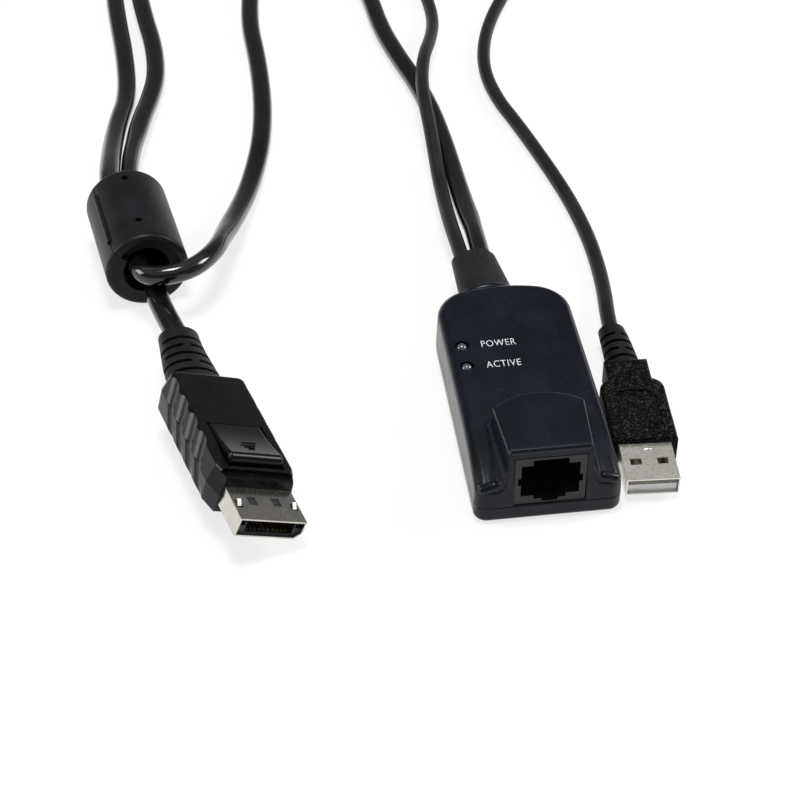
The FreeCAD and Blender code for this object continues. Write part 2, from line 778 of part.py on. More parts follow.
# ---------- video plug, modelled with its mouth at y = 0 facing -Y ----------

plug_place = FreeCAD.Placement(V(size("plug_x"), size("plug_y"), size("plug_lift")),
                               turned(size("plug_turn"), size("plug_tilt")))
shell_out = size("plug_shell_out")
shell_in = size("plug_shell_in")
shell_end = shell_out + shell_in
plug_rear = shell_out + size("plug_length")
half_shell = size("plug_shell_width") / 2
half_metal = size("plug_shell_height") / 2
metal = size("sheet_metal")
half_plug = size("plug_width") / 2


def keyed(sketch, half_wide, half_high, key):
    # a rectangle whose lower right corner is cut off
    polygon(sketch, [(-half_wide, -half_high), (half_wide - key, -half_high), (half_wide, key - half_high),
                     (half_wide, half_high), (-half_wide, half_high)])


def plug_outline(sketch):
    # narrower in front of the button, straight sides, rounded rear corners
    r = size("plug_corner")
    slant = r * (1 - math.sqrt(0.5))
    narrow = half_plug - 1.5
    sketch.addGeometry(Part.LineSegment(V(-narrow, shell_out, 0), V(narrow, shell_out, 0)))
    sketch.addGeometry(Part.LineSegment(V(narrow, shell_out, 0), V(half_plug, shell_out + 5, 0)))
    sketch.addGeometry(Part.LineSegment(V(half_plug, shell_out + 5, 0), V(half_plug, plug_rear - r, 0)))
    sketch.addGeometry(Part.Arc(V(half_plug, plug_rear - r, 0), V(half_plug - slant, plug_rear - slant, 0),
                                V(half_plug - r, plug_rear, 0)))
    sketch.addGeometry(Part.LineSegment(V(half_plug - r, plug_rear, 0), V(r - half_plug, plug_rear, 0)))
    sketch.addGeometry(Part.Arc(V(r - half_plug, plug_rear, 0), V(slant - half_plug, plug_rear - slant, 0),
                                V(-half_plug, plug_rear - r, 0)))
    sketch.addGeometry(Part.LineSegment(V(-half_plug, plug_rear - r, 0), V(-half_plug, shell_out + 5, 0)))
    sketch.addGeometry(Part.LineSegment(V(-half_plug, shell_out + 5, 0), V(-narrow, shell_out, 0)))


def plug_half(label, upper):
    # one half of the plug's body, hollow, with a slot for the metal shell
    body = new_body(label)
    outline = sketch_on(body, label + "_outline")
    plug_outline(outline)
    block = pad(body, outline, "Sizes.plug_half_height", back=not upper, taper="-Sizes.plug_draft")
    height = size("plug_half_height") * (1 if upper else -1)
    shell_last = round_edges(body, block, "Sizes.plug_edge", lambda edge: level(edge, height))
    room = sketch_on(body, label + "_room")
    rectangle(room, -half_shell - 0.2, shell_end, half_shell + 0.2, plug_rear - size("plug_wall"))
    pocket(body, room, "Sizes.plug_half_height - Sizes.plug_wall", back=upper)
    slot = sketch_on(body, label + "_slot")
    rectangle(slot, -half_shell, shell_out - 1, half_shell, shell_end + 0.2)
    return body, slot


upper_body, upper_slot = plug_half("plug_upper", True)
pocket(upper_body, upper_slot, "Sizes.plug_shell_height / 2", back=True)
step = sketch_on(upper_body, "front_step", offset=size("plug_half_height"))
rectangle(step, -half_plug, shell_out - 1, half_plug, shell_out + 3)
pocket(upper_body, step, "0.9")
bay = sketch_on(upper_body, "button_bay", offset=size("plug_half_height") + 1)
half_button = size("button_width") / 2
bay_side = half_button + size("button_gap")
rectangle(bay, -bay_side, size("button_front") - 1.0, bay_side, size("button_rear") + size("button_gap"))
pocket(upper_body, bay, "Sizes.plug_half_height + 1 - Sizes.button_floor + 0.6")
lower_body, lower_slot = plug_half("plug_lower", False)
pocket(lower_body, lower_slot, "Sizes.plug_shell_height / 2")
plug_posts = sketch_on(lower_body, "plug_posts", offset=-size("plug_half_height") + 1)
for x in (-5, 5):
    for y in (shell_end + 8, plug_rear - 8):
        circle(plug_posts, x, y, 1.2)
pad(lower_body, plug_posts, "Sizes.plug_half_height - 1 - Sizes.plug_board / 2")


def flutes(half):
    # slanted finger grooves along both sides; half is 1 for the upper and -1 for the lower cover
    tools = []
    for side in (-1, 1):
        for index in range(int(size("flute_count"))):
            tool = doc.addObject("Part::Cylinder", "flute")
            tool.setExpression("Radius", "Sizes.flute_radius")
            tool.Height = 30
            y = size("flute_start") + index * size("flute_pitch")
            slope_turn = FreeCAD.Rotation(X, -size("flute_slant"))
            lean = FreeCAD.Rotation(Y, -half * side * size("plug_draft"))
            reach = half_plug - size("flute_depth") + size("flute_radius")
            start = V(side * reach, y, 0) + lean.multiply(slope_turn).multVec(V(0, 0, -15))
            tool.Placement = FreeCAD.Placement(start, lean.multiply(slope_turn))
            tools.append(tool)
    return tools


for half, plain_body, label in ((1, upper_body, "video_plug_upper_cover"),
                                (-1, lower_body, "video_plug_lower_cover")):
    grooves = doc.addObject("Part::Compound", "flute_tools")
    grooves.Links = flutes(half)
    keep(cut("fluted_half", plain_body, grooves), label, plug_place)

button = new_body("latch_button")
side_view = sketch_on(button, "button_side", "YZ_Plane")
b_front = size("button_front")
b_rear = size("button_rear")
b_floor = size("button_floor")
b_top = size("button_rise")
b_back = size("plug_half_height") + 0.1
side_view.addGeometry(Part.LineSegment(V(b_front, b_floor, 0), V(b_front, b_top - 1.6, 0)))
side_view.addGeometry(Part.Arc(V(b_front, b_top - 1.6, 0), V(b_front + 0.5, b_top - 0.45, 0),
                               V(b_front + 1.7, b_top, 0)))
side_view.addGeometry(Part.Arc(V(b_front + 1.7, b_top, 0),
                               V((b_front + b_rear) / 2, (b_top + b_back) / 2 - 0.25, 0),
                               V(b_rear, b_back, 0)))
side_view.addGeometry(Part.LineSegment(V(b_rear, b_back, 0), V(b_rear, b_floor, 0)))
side_view.addGeometry(Part.LineSegment(V(b_rear, b_floor, 0), V(b_front, b_floor, 0)))
button_block = pad(button, side_view, "Sizes.button_width", both=True)
round_edges(button, button_block, "0.7", lambda edge: abs(abs(edge.BoundBox.Center.x) - half_button) < 0.05
            and edge.BoundBox.ZMin > b_floor + 0.5 and edge.BoundBox.YLength > 0.3)
feet = sketch_on(button, "button_feet", offset=b_floor + 0.2)
for side in (-1, 1):
    edges = sorted([side * half_button, side * (half_button - 0.9)])
    rectangle(feet, edges[0], b_front + 2, edges[1], b_front + 4)
arm_top = half_metal - metal - 0.25
pad(button, feet, "Sizes.button_floor + 0.2 - Sizes.plug_shell_height / 2 + Sizes.sheet_metal + 0.25",
    back=True)
keep(button, "latch_button", plug_place)

# the latch spring: two flat arms with hooks, joined by a bar at the rear
arm_x = size("arm_x")
arm_half = size("hook_width") / 2
arm_low = arm_top - size("arm_thickness")
hook_y = size("hook_front")
hook_top = half_metal + size("hook_rise")
arms = []
for side in (-1, 1):
    profile = [(hook_y, arm_low), (hook_y, arm_top), (hook_y + 0.2, arm_top + 0.5),
               (hook_y + 1.5, hook_top),
               (hook_y + 1.8, hook_top), (hook_y + 1.8, arm_top),
               (b_rear - 1, arm_top), (b_rear - 1, arm_low)]
    corners = [V(side * arm_x - arm_half, y, z) for y, z in profile]
    arms.append(Part.Face(Part.makePolygon(corners + corners[:1])).extrude(V(2 * arm_half, 0, 0)))
bar = Part.makeBox(2 * arm_x, 1.6, size("arm_thickness"), V(-arm_x, b_rear - 2.6, arm_low))
spring = doc.addObject("Part::Feature", "spring")
spring.Shape = arms[0].fuse([arms[1], bar]).removeSplitter()
keep(spring, "latch_spring", plug_place)

metal_shell = new_body("video_plug_shell")
shell_face = sketch_on(metal_shell, "shell_face", "XZ_Plane")
keyed(shell_face, half_shell, half_metal, size("plug_key"))
keyed(shell_face, half_shell - metal, half_metal - metal, size("plug_key") - metal * 0.6)
pad(metal_shell, shell_face, "Sizes.plug_shell_out + Sizes.plug_shell_in", back=True)
shell_windows = sketch_on(metal_shell, "shell_windows", offset=0)
rectangle(shell_windows, -4.1, 5.0, -2.1, 7.7)
rectangle(shell_windows, 1.8, 5.0, 3.8, 7.7)
for side in (-1, 1):
    rectangle(shell_windows, side * arm_x - arm_half - 0.25, hook_y - 0.4, side * arm_x + arm_half + 0.25,
              hook_y + 2.2)
pocket(metal_shell, shell_windows, "Sizes.plug_shell_height", back=True)
keep(metal_shell, "video_plug_shell", plug_place)

insulator = new_body("video_plug_insulator")
frame_face = sketch_on(insulator, "frame_face", "XZ_Plane", offset=-0.7)
keyed(frame_face, half_shell - metal - 0.05, half_metal - metal, size("plug_key") - metal * 0.6)
pad(insulator, frame_face, "Sizes.plug_shell_out + Sizes.plug_shell_in + 1.3", back=True)
plug_mouth = sketch_on(insulator, "plug_mouth", "XZ_Plane", offset=-0.6)
half_open = size("mouth_width") / 2
half_gape = size("mouth_height") / 2
rectangle(plug_mouth, -half_open, -half_gape, half_open, half_gape)
pocket(insulator, plug_mouth, "8.5")
arm_ways = sketch_on(insulator, "arm_ways", offset=arm_low - 1.2)
for side in (-1, 1):
    edges = sorted([side * (arm_x - arm_half - 0.25), side * half_shell])
    rectangle(arm_ways, edges[0], 0, edges[1], shell_end + 5)
pocket(insulator, arm_ways, "Sizes.plug_shell_height", back=True)
keep(insulator, "video_plug_insulator", plug_place)

pins = contact_row([(1.6, half_gape), (8.2, half_gape)], 0.5, 0.22, 10, size("pin_pitch"))
pins += contact_row([(1.6, 0.22 - half_gape), (8.2, 0.22 - half_gape)], 0.5, 0.22, 10, size("pin_pitch"))
keep(group("plug_pins", pins), "video_plug_contacts", plug_place)

card = new_body("video_plug_board")
card_outline = sketch_on(card, "card_outline", offset=-size("plug_board") / 2)
rectangle(card_outline, 0.6 - half_shell, shell_end + 2.0, half_shell - 0.6, plug_rear - 4)
pad(card, card_outline, "Sizes.plug_board")
card_notch = sketch_on(card, "card_notch", offset=-size("plug_board") / 2)
for side in (-1, 1):
    edges = sorted([side * (arm_x - arm_half - 0.3), side * half_shell])
    rectangle(card_notch, edges[0], shell_end, edges[1], b_rear + 1)
pocket(card, card_notch, "Sizes.plug_board + 0.2", back=True)
keep(card, "video_plug_board", plug_place)


def ribbed_sleeve(name, sections, core, rows, first, pitch, slot, web):
    # a tapered sleeve with staggered slots down to its core, alternately leaving a flat and an upright web
    hull = loft(name + "_hull", sections)
    tools = []
    for index in range(rows):
        y = first + index * pitch
        block = doc.addObject("Part::Box", name + "_slab")
        block.Length = 30
        block.Width = slot
        block.Height = 30
        block.Placement.Base = V(-15, y, -15)
        bar_ = doc.addObject("Part::Box", name + "_web")
        bar_.Width = slot
        bar_.Length = web if index % 2 else 30
        bar_.Height = 30 if index % 2 else web
        bar_.Placement.Base = V(-web / 2, y, -15) if index % 2 else V(-15, y, -web / 2)
        rod = doc.addObject("Part::Cylinder", name + "_rod")
        rod.Radius = core
        rod.Height = slot
        middle = (sections[0].Placement.Base.x + sections[-1].Placement.Base.x) / 2
        rod.Placement = FreeCAD.Placement(V(middle, y, 0), FreeCAD.Rotation(Z, Y))
        tools.append(cut(name + "_slot", block, fuse(name + "_keep", [bar_, rod])))
    slots = doc.addObject("Part::Compound", name + "_slots")
    slots.Links = tools
    return cut(name, hull, slots)


relief_end = plug_rear + size("relief_length")
base_half = size("relief_base") / 2
end_half = size("relief_tip") / 2
shift = size("relief_shift")
relief_sections = [oval("relief_s1", base_half, base_half * 0.6, 0, plug_rear, 0),
                   oval("relief_s2", base_half * 0.95, base_half * 0.58, shift * 0.12,
                        plug_rear + size("relief_length") * 0.35, 0),
                   oval("relief_s3", end_half * 1.06, end_half * 0.74, shift * 0.55,
                        plug_rear + size("relief_length") * 0.75, 0),
                   oval("relief_s4", end_half, end_half * 0.72, shift, relief_end, 0)]
relief = ribbed_sleeve("plug_relief", relief_sections, size("video_cord") / 2 + 0.55,
                       int(size("relief_rows")),
                       plug_rear + 2.4, 3.3, size("relief_slot"), 1.8)
keep(relief, "video_plug_relief", plug_place)

# ---------- data plug, modelled the same way ----------

data_place = FreeCAD.Placement(V(size("data_x"), size("data_y"), size("data_height") / 2),
                               FreeCAD.Rotation(Z, size("data_turn")))
data_out = size("data_shell_out")
data_end = data_out + size("data_shell_in")
shoulder = data_out + size("data_body_length")
data_rear = shoulder + size("data_neck_length")
half_data = size("data_width") / 2
half_neck = size("data_neck_width") / 2
data_half_shell = size("data_shell_width") / 2
data_half_metal = size("data_shell_height") / 2
thin = size("data_metal")

moulding = new_body("data_plug_body")
mould_outline = sketch_on(moulding, "mould_outline")
for start, end in (((-half_data, data_out), (half_data, data_out)),
                   ((half_data, data_out), (half_data, shoulder - 2)),
                   ((half_neck, shoulder + 1.4), (half_neck, data_rear)),
                   ((half_neck, data_rear), (-half_neck, data_rear)),
                   ((-half_neck, data_rear), (-half_neck, shoulder + 1.4)),
                   ((-half_data, shoulder - 2), (-half_data, data_out))):
    mould_outline.addGeometry(Part.LineSegment(V(*start, 0), V(*end, 0)))
mould_outline.addGeometry(Part.Arc(V(half_data, shoulder - 2, 0), V(half_data - 0.9, shoulder + 0.4, 0),
                                   V(half_neck, shoulder + 1.4, 0)))
mould_outline.addGeometry(Part.Arc(V(-half_data, shoulder - 2, 0), V(0.9 - half_data, shoulder + 0.4, 0),
                                   V(-half_neck, shoulder + 1.4, 0)))
mould = pad(moulding, mould_outline, "Sizes.data_height", both=True)
half_tall = size("data_height") / 2
round_edges(moulding, mould, "Sizes.data_edge",
            lambda edge: level(edge, half_tall) or level(edge, -half_tall))
panel = sketch_on(moulding, "data_panel", offset=half_tall)
polygon(panel, [(-4.9, data_out + 3.4), (4.9, data_out + 3.4), (5.1, shoulder - 5.6), (3.6, shoulder - 3.2),
                (-3.6, shoulder - 3.2), (-5.1, shoulder - 5.6)])
pocket(moulding, panel, "Sizes.data_panel_depth")
data_slot = sketch_on(moulding, "data_slot", "XZ_Plane", offset=-data_out)
rectangle(data_slot, -data_half_shell, -data_half_metal, data_half_shell, data_half_metal)
pocket(moulding, data_slot, "Sizes.data_shell_in")
keep(moulding, "data_plug_body", data_place)

data_shell = new_body("data_plug_shell")
data_face = sketch_on(data_shell, "data_face", "XZ_Plane")
rectangle(data_face, -data_half_shell, -data_half_metal, data_half_shell, data_half_metal)
rectangle(data_face, thin - data_half_shell, thin - data_half_metal, data_half_shell - thin,
          data_half_metal - thin)
pad(data_shell, data_face, "Sizes.data_shell_out + Sizes.data_shell_in", back=True)
data_windows = sketch_on(data_shell, "data_windows")
rectangle(data_windows, -4.3, 5.0, -1.8, 7.2)
rectangle(data_windows, 1.8, 5.0, 4.3, 7.2)
pocket(data_shell, data_windows, "Sizes.data_shell_height + 1", both=True)
keep(data_shell, "data_plug_shell", data_place)

tongue = new_body("data_plug_tongue")
tongue_face = sketch_on(tongue, "tongue_face", "XZ_Plane", offset=-0.9)
tongue_low = thin - data_half_metal
rectangle(tongue_face, thin + 0.1 - data_half_shell, tongue_low, data_half_shell - thin - 0.1,
          tongue_low + size("tongue_thickness"))
pad(tongue, tongue_face, "Sizes.data_shell_out + Sizes.data_shell_in - 0.9", back=True)
keep(tongue, "data_plug_tongue", data_place)

blade_top = tongue_low + size("tongue_thickness") + 0.2
blades = [strip([(1.9, blade_top), (9.0, blade_top)], 1.0, 0.2, x) for x in (-3.5, -1.0, 1.0, 3.5)]
keep(group("data_blades", blades), "data_plug_contacts", data_place)

data_relief_end = data_rear + size("data_relief_length")
relief_half = size("data_relief_base") / 2
small_half = size("data_relief_tip") / 2
data_sections = [oval("data_s1", relief_half, relief_half * 0.82, 0, data_rear, 0),
                 oval("data_s2", relief_half * 0.93, relief_half * 0.78, -0.3,
                      data_rear + size("data_relief_length") * 0.5, 0),
                 oval("data_s3", small_half, small_half * 0.85, -0.8, data_relief_end, 0)]
data_relief = ribbed_sleeve("data_relief", data_sections, size("data_cord") / 2 + 0.4,
                            int(size("data_relief_rows")),
                            data_rear + 1.6, 2.9, 1.0, 1.5)
keep(data_relief, "data_plug_relief", data_place)

# ---------- cords ----------

def cord(label, points, diameter):
    # straight runs joined by tangent arcs as large as the runs allow
    route = [V(*point) for point in points]
    edges = []
    here = route[0]
    for before, corner, after in zip(route, route[1:], route[2:]):
        into = corner - before
        out = after - corner
        half_bend = into.getAngle(out) / 2
        reach = 0.45 * min(into.Length, out.Length)
        radius = reach / math.tan(half_bend)
        start = corner - into.normalize() * reach
        end = corner + out.normalize() * reach
        middle = corner + (end + start - corner * 2).normalize() * (radius / math.cos(half_bend) - radius)
        print(label, "bend radius", round(radius, 1))
        edges.append(Part.LineSegment(here, start).toShape())
        edges.append(Part.Arc(start, middle, end).toShape())
        here = end
    edges.append(Part.LineSegment(here, route[-1]).toShape())
    path = Part.Wire(edges)
    ring = Part.Wire(Part.Circle(route[0], route[1] - route[0], diameter / 2).toShape())
    tube = doc.addObject("Part::Feature", label)
    tube.Shape = path.makePipeShell([ring], True, False)
    expected = path.Length * math.pi * diameter ** 2 / 4
    print(label, "length", round(path.Length, 1), "volume ratio", round(tube.Shape.Volume / expected, 4))
    keep(tube, label)


VIDEO_ROUTE = [
    (-1, 43.75, 7.6), (-0.9, 51, 7.2), (-0.7, 61.5, 5.9), (-0.9, 74, 3.9),
    (-1.1, 87, 2.8), (-1.3, 98, 2.5), (-1.8, 110.8, 2.5), (-2.7, 124.4, 2.5),
    (-4.8, 140, 2.5), (-8.4, 156, 2.5), (-11.5, 174, 2.5), (-12.6, 194, 2.5),
    (-14.5, 214, 2.5), (-22, 234, 2.5), (-38, 248, 2.5), (-58, 253, 2.5),
    (-78, 247, 2.5), (-91, 231, 2.5), (-93.5, 211, 2.5), (-92.3, 190, 2.5),
    (-90.6, 170, 2.5), (-89.9, 152, 2.5), (-90.5, 139.9, 3), (-92.1, 130, 4.2),
    (-93.4, 119, 5.6), (-94.2, 107, 7.8), (-94.6, 95.5, 10.2), (-94.6, 84.92, 12.2),
    (-92.52, 76.65, 12.4), (-90.41, 63.32, 12.35), (-88.35, 51.49, 12.4), (-87.1, 39.4, 13.3),
    (-75.8, 39.2, 14), (-68.8, 47.4, 13.2), (-65.6, 60.8, 9.3), (-61.9, 74.6, 5.7),
    (-58.5, 87.2, 3.4), (-55.6, 99.6, 2.5), (-53.1, 112, 2.5), (-51.6, 124.5, 2.5),
    (-50.8, 137, 2.5), (-50.6, 149.5, 2.5), (-50.8, 163, 2.5), (-51.6, 180, 2.5),
    (-50.6, 197, 2.5), (-49, 212, 2.5), (-50, 224.5, 2.5), (-60, 234.5, 2.5),
    (-75, 234.5, 2.5), (-86, 224, 2.5), (-85.6, 208.5, 2.5), (-83.9, 190.5, 2.5),
    (-81.4, 171, 2.5), (-81.2, 154, 2.5), (-83.5, 140, 3), (-85.8, 129, 4),
    (-87.6, 118, 4.8), (-89, 107, 6), (-89.7, 96.5, 7.4), (-89.96, 85.69, 8.4),
    (-88.67, 77.29, 8.6), (-86.27, 64, 8.65), (-84.6, 52.11, 8.6), (-84.14, 42.56, 7.9),
    (-83.2, 36.8, 7.6), (-81.7, 31, 7.6), (-80.29, 26, 7.74), (-78.88, 20.88, 7.74),
]
DATA_ROUTE = [
    (-5.9, 43.75, 7.6), (-6.1, 51, 7.3), (-6.3, 61.7, 6.1), (-6.1, 74, 4.5),
    (-5.9, 86, 4.3), (-5.5, 98, 5.6), (-5.2, 110, 7), (-5.1, 122.1, 7.8),
    (-4.2, 134, 7.9), (-1.6, 148, 7.2), (2.5, 162, 4.6), (5.6, 178, 2.4),
    (5.4, 196, 2), (4.2, 213, 2), (4.6, 228.5, 2), (14.5, 238.5, 2),
    (28.5, 238.5, 2), (37.5, 228.5, 2), (37, 212, 2), (32, 195, 2),
    (24, 178, 2), (18.5, 161, 2), (16.2, 144, 2), (17.6, 128.2, 2),
    (20.6, 116, 2), (23.3, 103, 2), (26, 89, 2), (28.4, 74, 2),
    (29.8, 57.5, 2), (29.6, 43, 2.2), (28.4, 30, 3), (27, 21, 3.8),
    (26.59, 14.42, 3.9),
]
cord("video_cable", VIDEO_ROUTE, size("video_cord"))
cord("data_cable", DATA_ROUTE, size("data_cord"))


# ---------- checks and export ----------

doc.recompute()
for obj in doc.Objects:
    if "Invalid" in obj.State or "Error" in obj.State:
        raise RuntimeError("did not recompute: " + obj.Name)
os.makedirs("parts", exist_ok=True)
for obj in parts:
    if obj.Shape.isNull() or not obj.Shape.isValid():
        raise RuntimeError("bad shape: " + obj.Label)
    obj.Shape.exportStep("parts/" + obj.Label + ".step")
    bounds = obj.Shape.optimalBoundingBox(True, False)
    print(obj.Label, len(obj.Shape.Solids), round(obj.Shape.Volume, 1),
          [round(v, 2) for v in (bounds.XMin, bounds.XMax, bounds.YMin, bounds.YMax, bounds.ZMin,
                                 bounds.ZMax)])
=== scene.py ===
import math
import bmesh
import bpy
import numpy as np
from mathutils import Matrix, Vector


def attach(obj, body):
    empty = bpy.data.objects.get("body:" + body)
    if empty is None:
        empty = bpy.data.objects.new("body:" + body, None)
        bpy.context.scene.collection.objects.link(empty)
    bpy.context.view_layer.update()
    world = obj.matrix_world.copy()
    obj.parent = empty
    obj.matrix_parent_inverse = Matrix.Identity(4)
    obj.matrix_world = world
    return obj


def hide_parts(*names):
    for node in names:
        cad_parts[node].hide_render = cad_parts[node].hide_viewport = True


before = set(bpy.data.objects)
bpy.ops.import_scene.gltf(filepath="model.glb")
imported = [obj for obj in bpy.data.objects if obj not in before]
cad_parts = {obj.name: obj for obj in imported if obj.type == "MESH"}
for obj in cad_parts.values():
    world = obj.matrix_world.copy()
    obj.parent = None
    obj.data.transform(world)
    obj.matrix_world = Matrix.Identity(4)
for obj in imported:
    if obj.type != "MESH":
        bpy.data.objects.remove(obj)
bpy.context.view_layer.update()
scene = bpy.context.scene
mm = 0.001  # one millimetre in metres
print("frame loaded:", len(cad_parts), "nodes")


def linearColour(hexCode):
    # an sRGB hex value turned to linear light
    channels = np.array([int(hexCode[i:i + 2], 16) / 255 for i in (1, 3, 5)])
    linear = np.where(channels <= 0.04045, channels / 12.92, ((channels + 0.055) / 1.055) ** 2.4)
    return (*linear.tolist(), 1.0)


def grey(value):
    # a plain grey, or a number carried by a colour ramp
    return (value, value, value, 1.0)


def addNode(tree, kind, values=None, links=None, stops=(), **settings):
    # one shader node: values for its sockets, links from other nodes' outputs, stops for a colour ramp
    node = tree.nodes.new(kind)
    for name, value in settings.items():
        setattr(node, name, value)
    for socket, value in (values or {}).items():
        node.inputs[socket].default_value = value
    for socket, source in (links or {}).items():
        tree.links.new(source, node.inputs[socket])
    for index, (position, colour) in enumerate(stops):
        elements = node.color_ramp.elements
        element = elements[index] if index < 2 else elements.new(position)
        element.position = position
        element.color = colour
    return node


def newMaterial(name):
    # an empty material with its output and the piece's own coordinates in metres
    material = bpy.data.materials.new(name)
    material.use_nodes = True
    tree = material.node_tree
    tree.nodes.clear()
    output = addNode(tree, "ShaderNodeOutputMaterial")
    place = addNode(tree, "ShaderNodeTexCoord")
    return material, tree, output, place.outputs["Object"]


# how large the marks of use and the fine patterns are, in metres
patternSizes = {
    "handlingPatch": 9 * mm, "dustAndGlintSpeck": 0.3 * mm, "fingerStain": 3.5 * mm, "resinHaze": 0.8 * mm,
    "weaveSize": 2.2 * mm, "inkCover": 0.35 * mm,
}


def mouldedPlastic(name, dark, light, roughness, grain, depth, dustAndGlints=0.0, coat=0.0, specular=0.35, paintedGlints=0.0):
    # injection-moulded plastic: the mould's spark-eroded grain, grain and depth in mm, gives a soft broken
    # gloss, and pale flecks painted on the grain's tops stand for its glints; hands change its shade slowly,
    # and pale specks lie on it: a few of dust, and where they are many, painted glints as well.
    # The grain is drawn coarser than eroded moulds usually are, so that it shows
    material, tree, output, place = newMaterial(name)
    handling = addNode(tree, "ShaderNodeTexNoise",
                       {"Scale": 1 / patternSizes["handlingPatch"], "Detail": 3.0}, {"Vector": place})
    shade = addNode(tree, "ShaderNodeValToRGB", links={"Fac": handling.outputs["Fac"]},
                    stops=[(0.35, linearColour(dark)), (0.68, linearColour(light))])
    # pale specks: dust, and where they are many, painted glints as well
    speck = addNode(tree, "ShaderNodeTexNoise", {"Scale": 1 / patternSizes["dustAndGlintSpeck"], "Detail": 0.0},
                    {"Vector": place})
    spots = addNode(tree, "ShaderNodeValToRGB", links={"Fac": speck.outputs["Fac"]},
                    stops=[(0.79, grey(0)), (0.84, grey(dustAndGlints))])
    dustedAndGlinting = addNode(tree, "ShaderNodeMix", {7: linearColour("#c9cdd2")},
                     {0: spots.outputs["Color"], 6: shade.outputs["Color"]}, data_type="RGBA")
    gloss = addNode(tree, "ShaderNodeValToRGB", links={"Fac": handling.outputs["Fac"]},
                    stops=[(0.3, grey(roughness * 0.9)), (0.7, grey(min(roughness * 1.12, 1.0)))])
    pores = addNode(tree, "ShaderNodeTexNoise",
                    {"Scale": 1 / (grain * mm), "Detail": 2.0, "Roughness": 0.6}, {"Vector": place})
    # pale flecks on the grain's tops: painted glints of the grain
    glintFlecks = addNode(tree, "ShaderNodeValToRGB", links={"Fac": pores.outputs["Fac"]},
                   stops=[(0.56, grey(0)), (0.7, grey(paintedGlints))])
    colour = addNode(tree, "ShaderNodeMix", {7: linearColour("#8d9194")},
                     {0: glintFlecks.outputs["Color"], 6: dustedAndGlinting.outputs[2]}, data_type="RGBA")
    bump = addNode(tree, "ShaderNodeBump", {"Strength": 0.6, "Distance": depth * mm},
                   {"Height": pores.outputs["Fac"]})
    shader = addNode(tree, "ShaderNodeBsdfPrincipled",
                     {"IOR": 1.49, "Specular IOR Level": specular, "Coat Weight": coat,
                      "Coat Roughness": 0.1},
                     {"Base Color": colour.outputs[2], "Roughness": gloss.outputs["Color"],
                      "Normal": bump.outputs["Normal"]})
    tree.links.new(shader.outputs["BSDF"], output.inputs["Surface"])
    return material


def platedSteel(name, base, roughness, streak, run=6.0):
    # plated pressed steel: rolling lines of streak by run mm along Y spread its glints, and fingers
    # have left soft stains; real rolling lines are too fine to show, so these are drawn coarser
    material, tree, output, place = newMaterial(name)
    stretched = addNode(tree, "ShaderNodeMapping",
                        {"Scale": (1 / (streak * mm), 1 / (run * mm), 1 / (streak * mm))}, {"Vector": place})
    lines = addNode(tree, "ShaderNodeTexNoise", {"Scale": 1.0, "Detail": 3.0},
                    {"Vector": stretched.outputs["Vector"]})
    stain = addNode(tree, "ShaderNodeTexNoise", {"Scale": 1 / patternSizes["fingerStain"], "Detail": 4.0},
                    {"Vector": place})
    colour = addNode(tree, "ShaderNodeValToRGB", links={"Fac": stain.outputs["Fac"]},
                     stops=[(0.3, linearColour(base)), (0.75, linearColour("#d6d2c8"))])
    gloss = addNode(tree, "ShaderNodeValToRGB", links={"Fac": lines.outputs["Fac"]},
                    stops=[(0.3, grey(roughness * 0.75)), (0.7, grey(roughness * 1.3))])
    bump = addNode(tree, "ShaderNodeBump", {"Strength": 0.25, "Distance": 0.01 * mm},
                   {"Height": lines.outputs["Fac"]})
    shader = addNode(tree, "ShaderNodeBsdfPrincipled", {"Metallic": 1.0},
                     {"Base Color": colour.outputs["Color"], "Roughness": gloss.outputs["Color"],
                      "Normal": bump.outputs["Normal"]})
    tree.links.new(shader.outputs["BSDF"], output.inputs["Surface"])
    return material


def castResin(name):
    # cast clear epoxy of an unlit lamp: smooth and wet-looking, its dark greys painted shade of the lamp's
    # dark inside, with a faint haze
    material, tree, output, place = newMaterial(name)
    haze = addNode(tree, "ShaderNodeTexNoise", {"Scale": 1 / patternSizes["resinHaze"], "Detail": 2.0},
                   {"Vector": place})
    # dark greys painted in as the shade seen inside the clear dome
    colour = addNode(tree, "ShaderNodeValToRGB", links={"Fac": haze.outputs["Fac"]},
                     stops=[(0.3, linearColour("#3a3f44")), (0.7, linearColour("#5d6369"))])
    shader = addNode(tree, "ShaderNodeBsdfPrincipled",
                     {"IOR": 1.51, "Roughness": 0.04, "Transmission Weight": 0.3, "Coat Weight": 1.0,
                      "Coat Roughness": 0.03}, {"Base Color": colour.outputs["Color"]})
    tree.links.new(shader.outputs["BSDF"], output.inputs["Surface"])
    return material


def glassFibreBoard(name):
    # green solder mask over woven glass fibre: glossy, with the weave just visible; the wave node's
    # bands lie 0.31 of its size apart, so weaveSize gives threads 0.69 mm apart
    material, tree, output, place = newMaterial(name)
    weave = {"Scale": 1 / patternSizes["weaveSize"], "Distortion": 0.6}
    warp = addNode(tree, "ShaderNodeTexWave", weave, {"Vector": place}, bands_direction="X")
    weft = addNode(tree, "ShaderNodeTexWave", weave, {"Vector": place}, bands_direction="Y")
    cloth = addNode(tree, "ShaderNodeMath", links={0: warp.outputs["Fac"], 1: weft.outputs["Fac"]},
                    operation="MULTIPLY")
    colour = addNode(tree, "ShaderNodeValToRGB", links={"Fac": cloth.outputs[0]},
                     stops=[(0.1, linearColour("#12402a")), (0.9, linearColour("#1d5a38"))])
    shader = addNode(tree, "ShaderNodeBsdfPrincipled", {"Roughness": 0.35, "IOR": 1.52},
                     {"Base Color": colour.outputs["Color"]})
    tree.links.new(shader.outputs["BSDF"], output.inputs["Surface"])
    return material


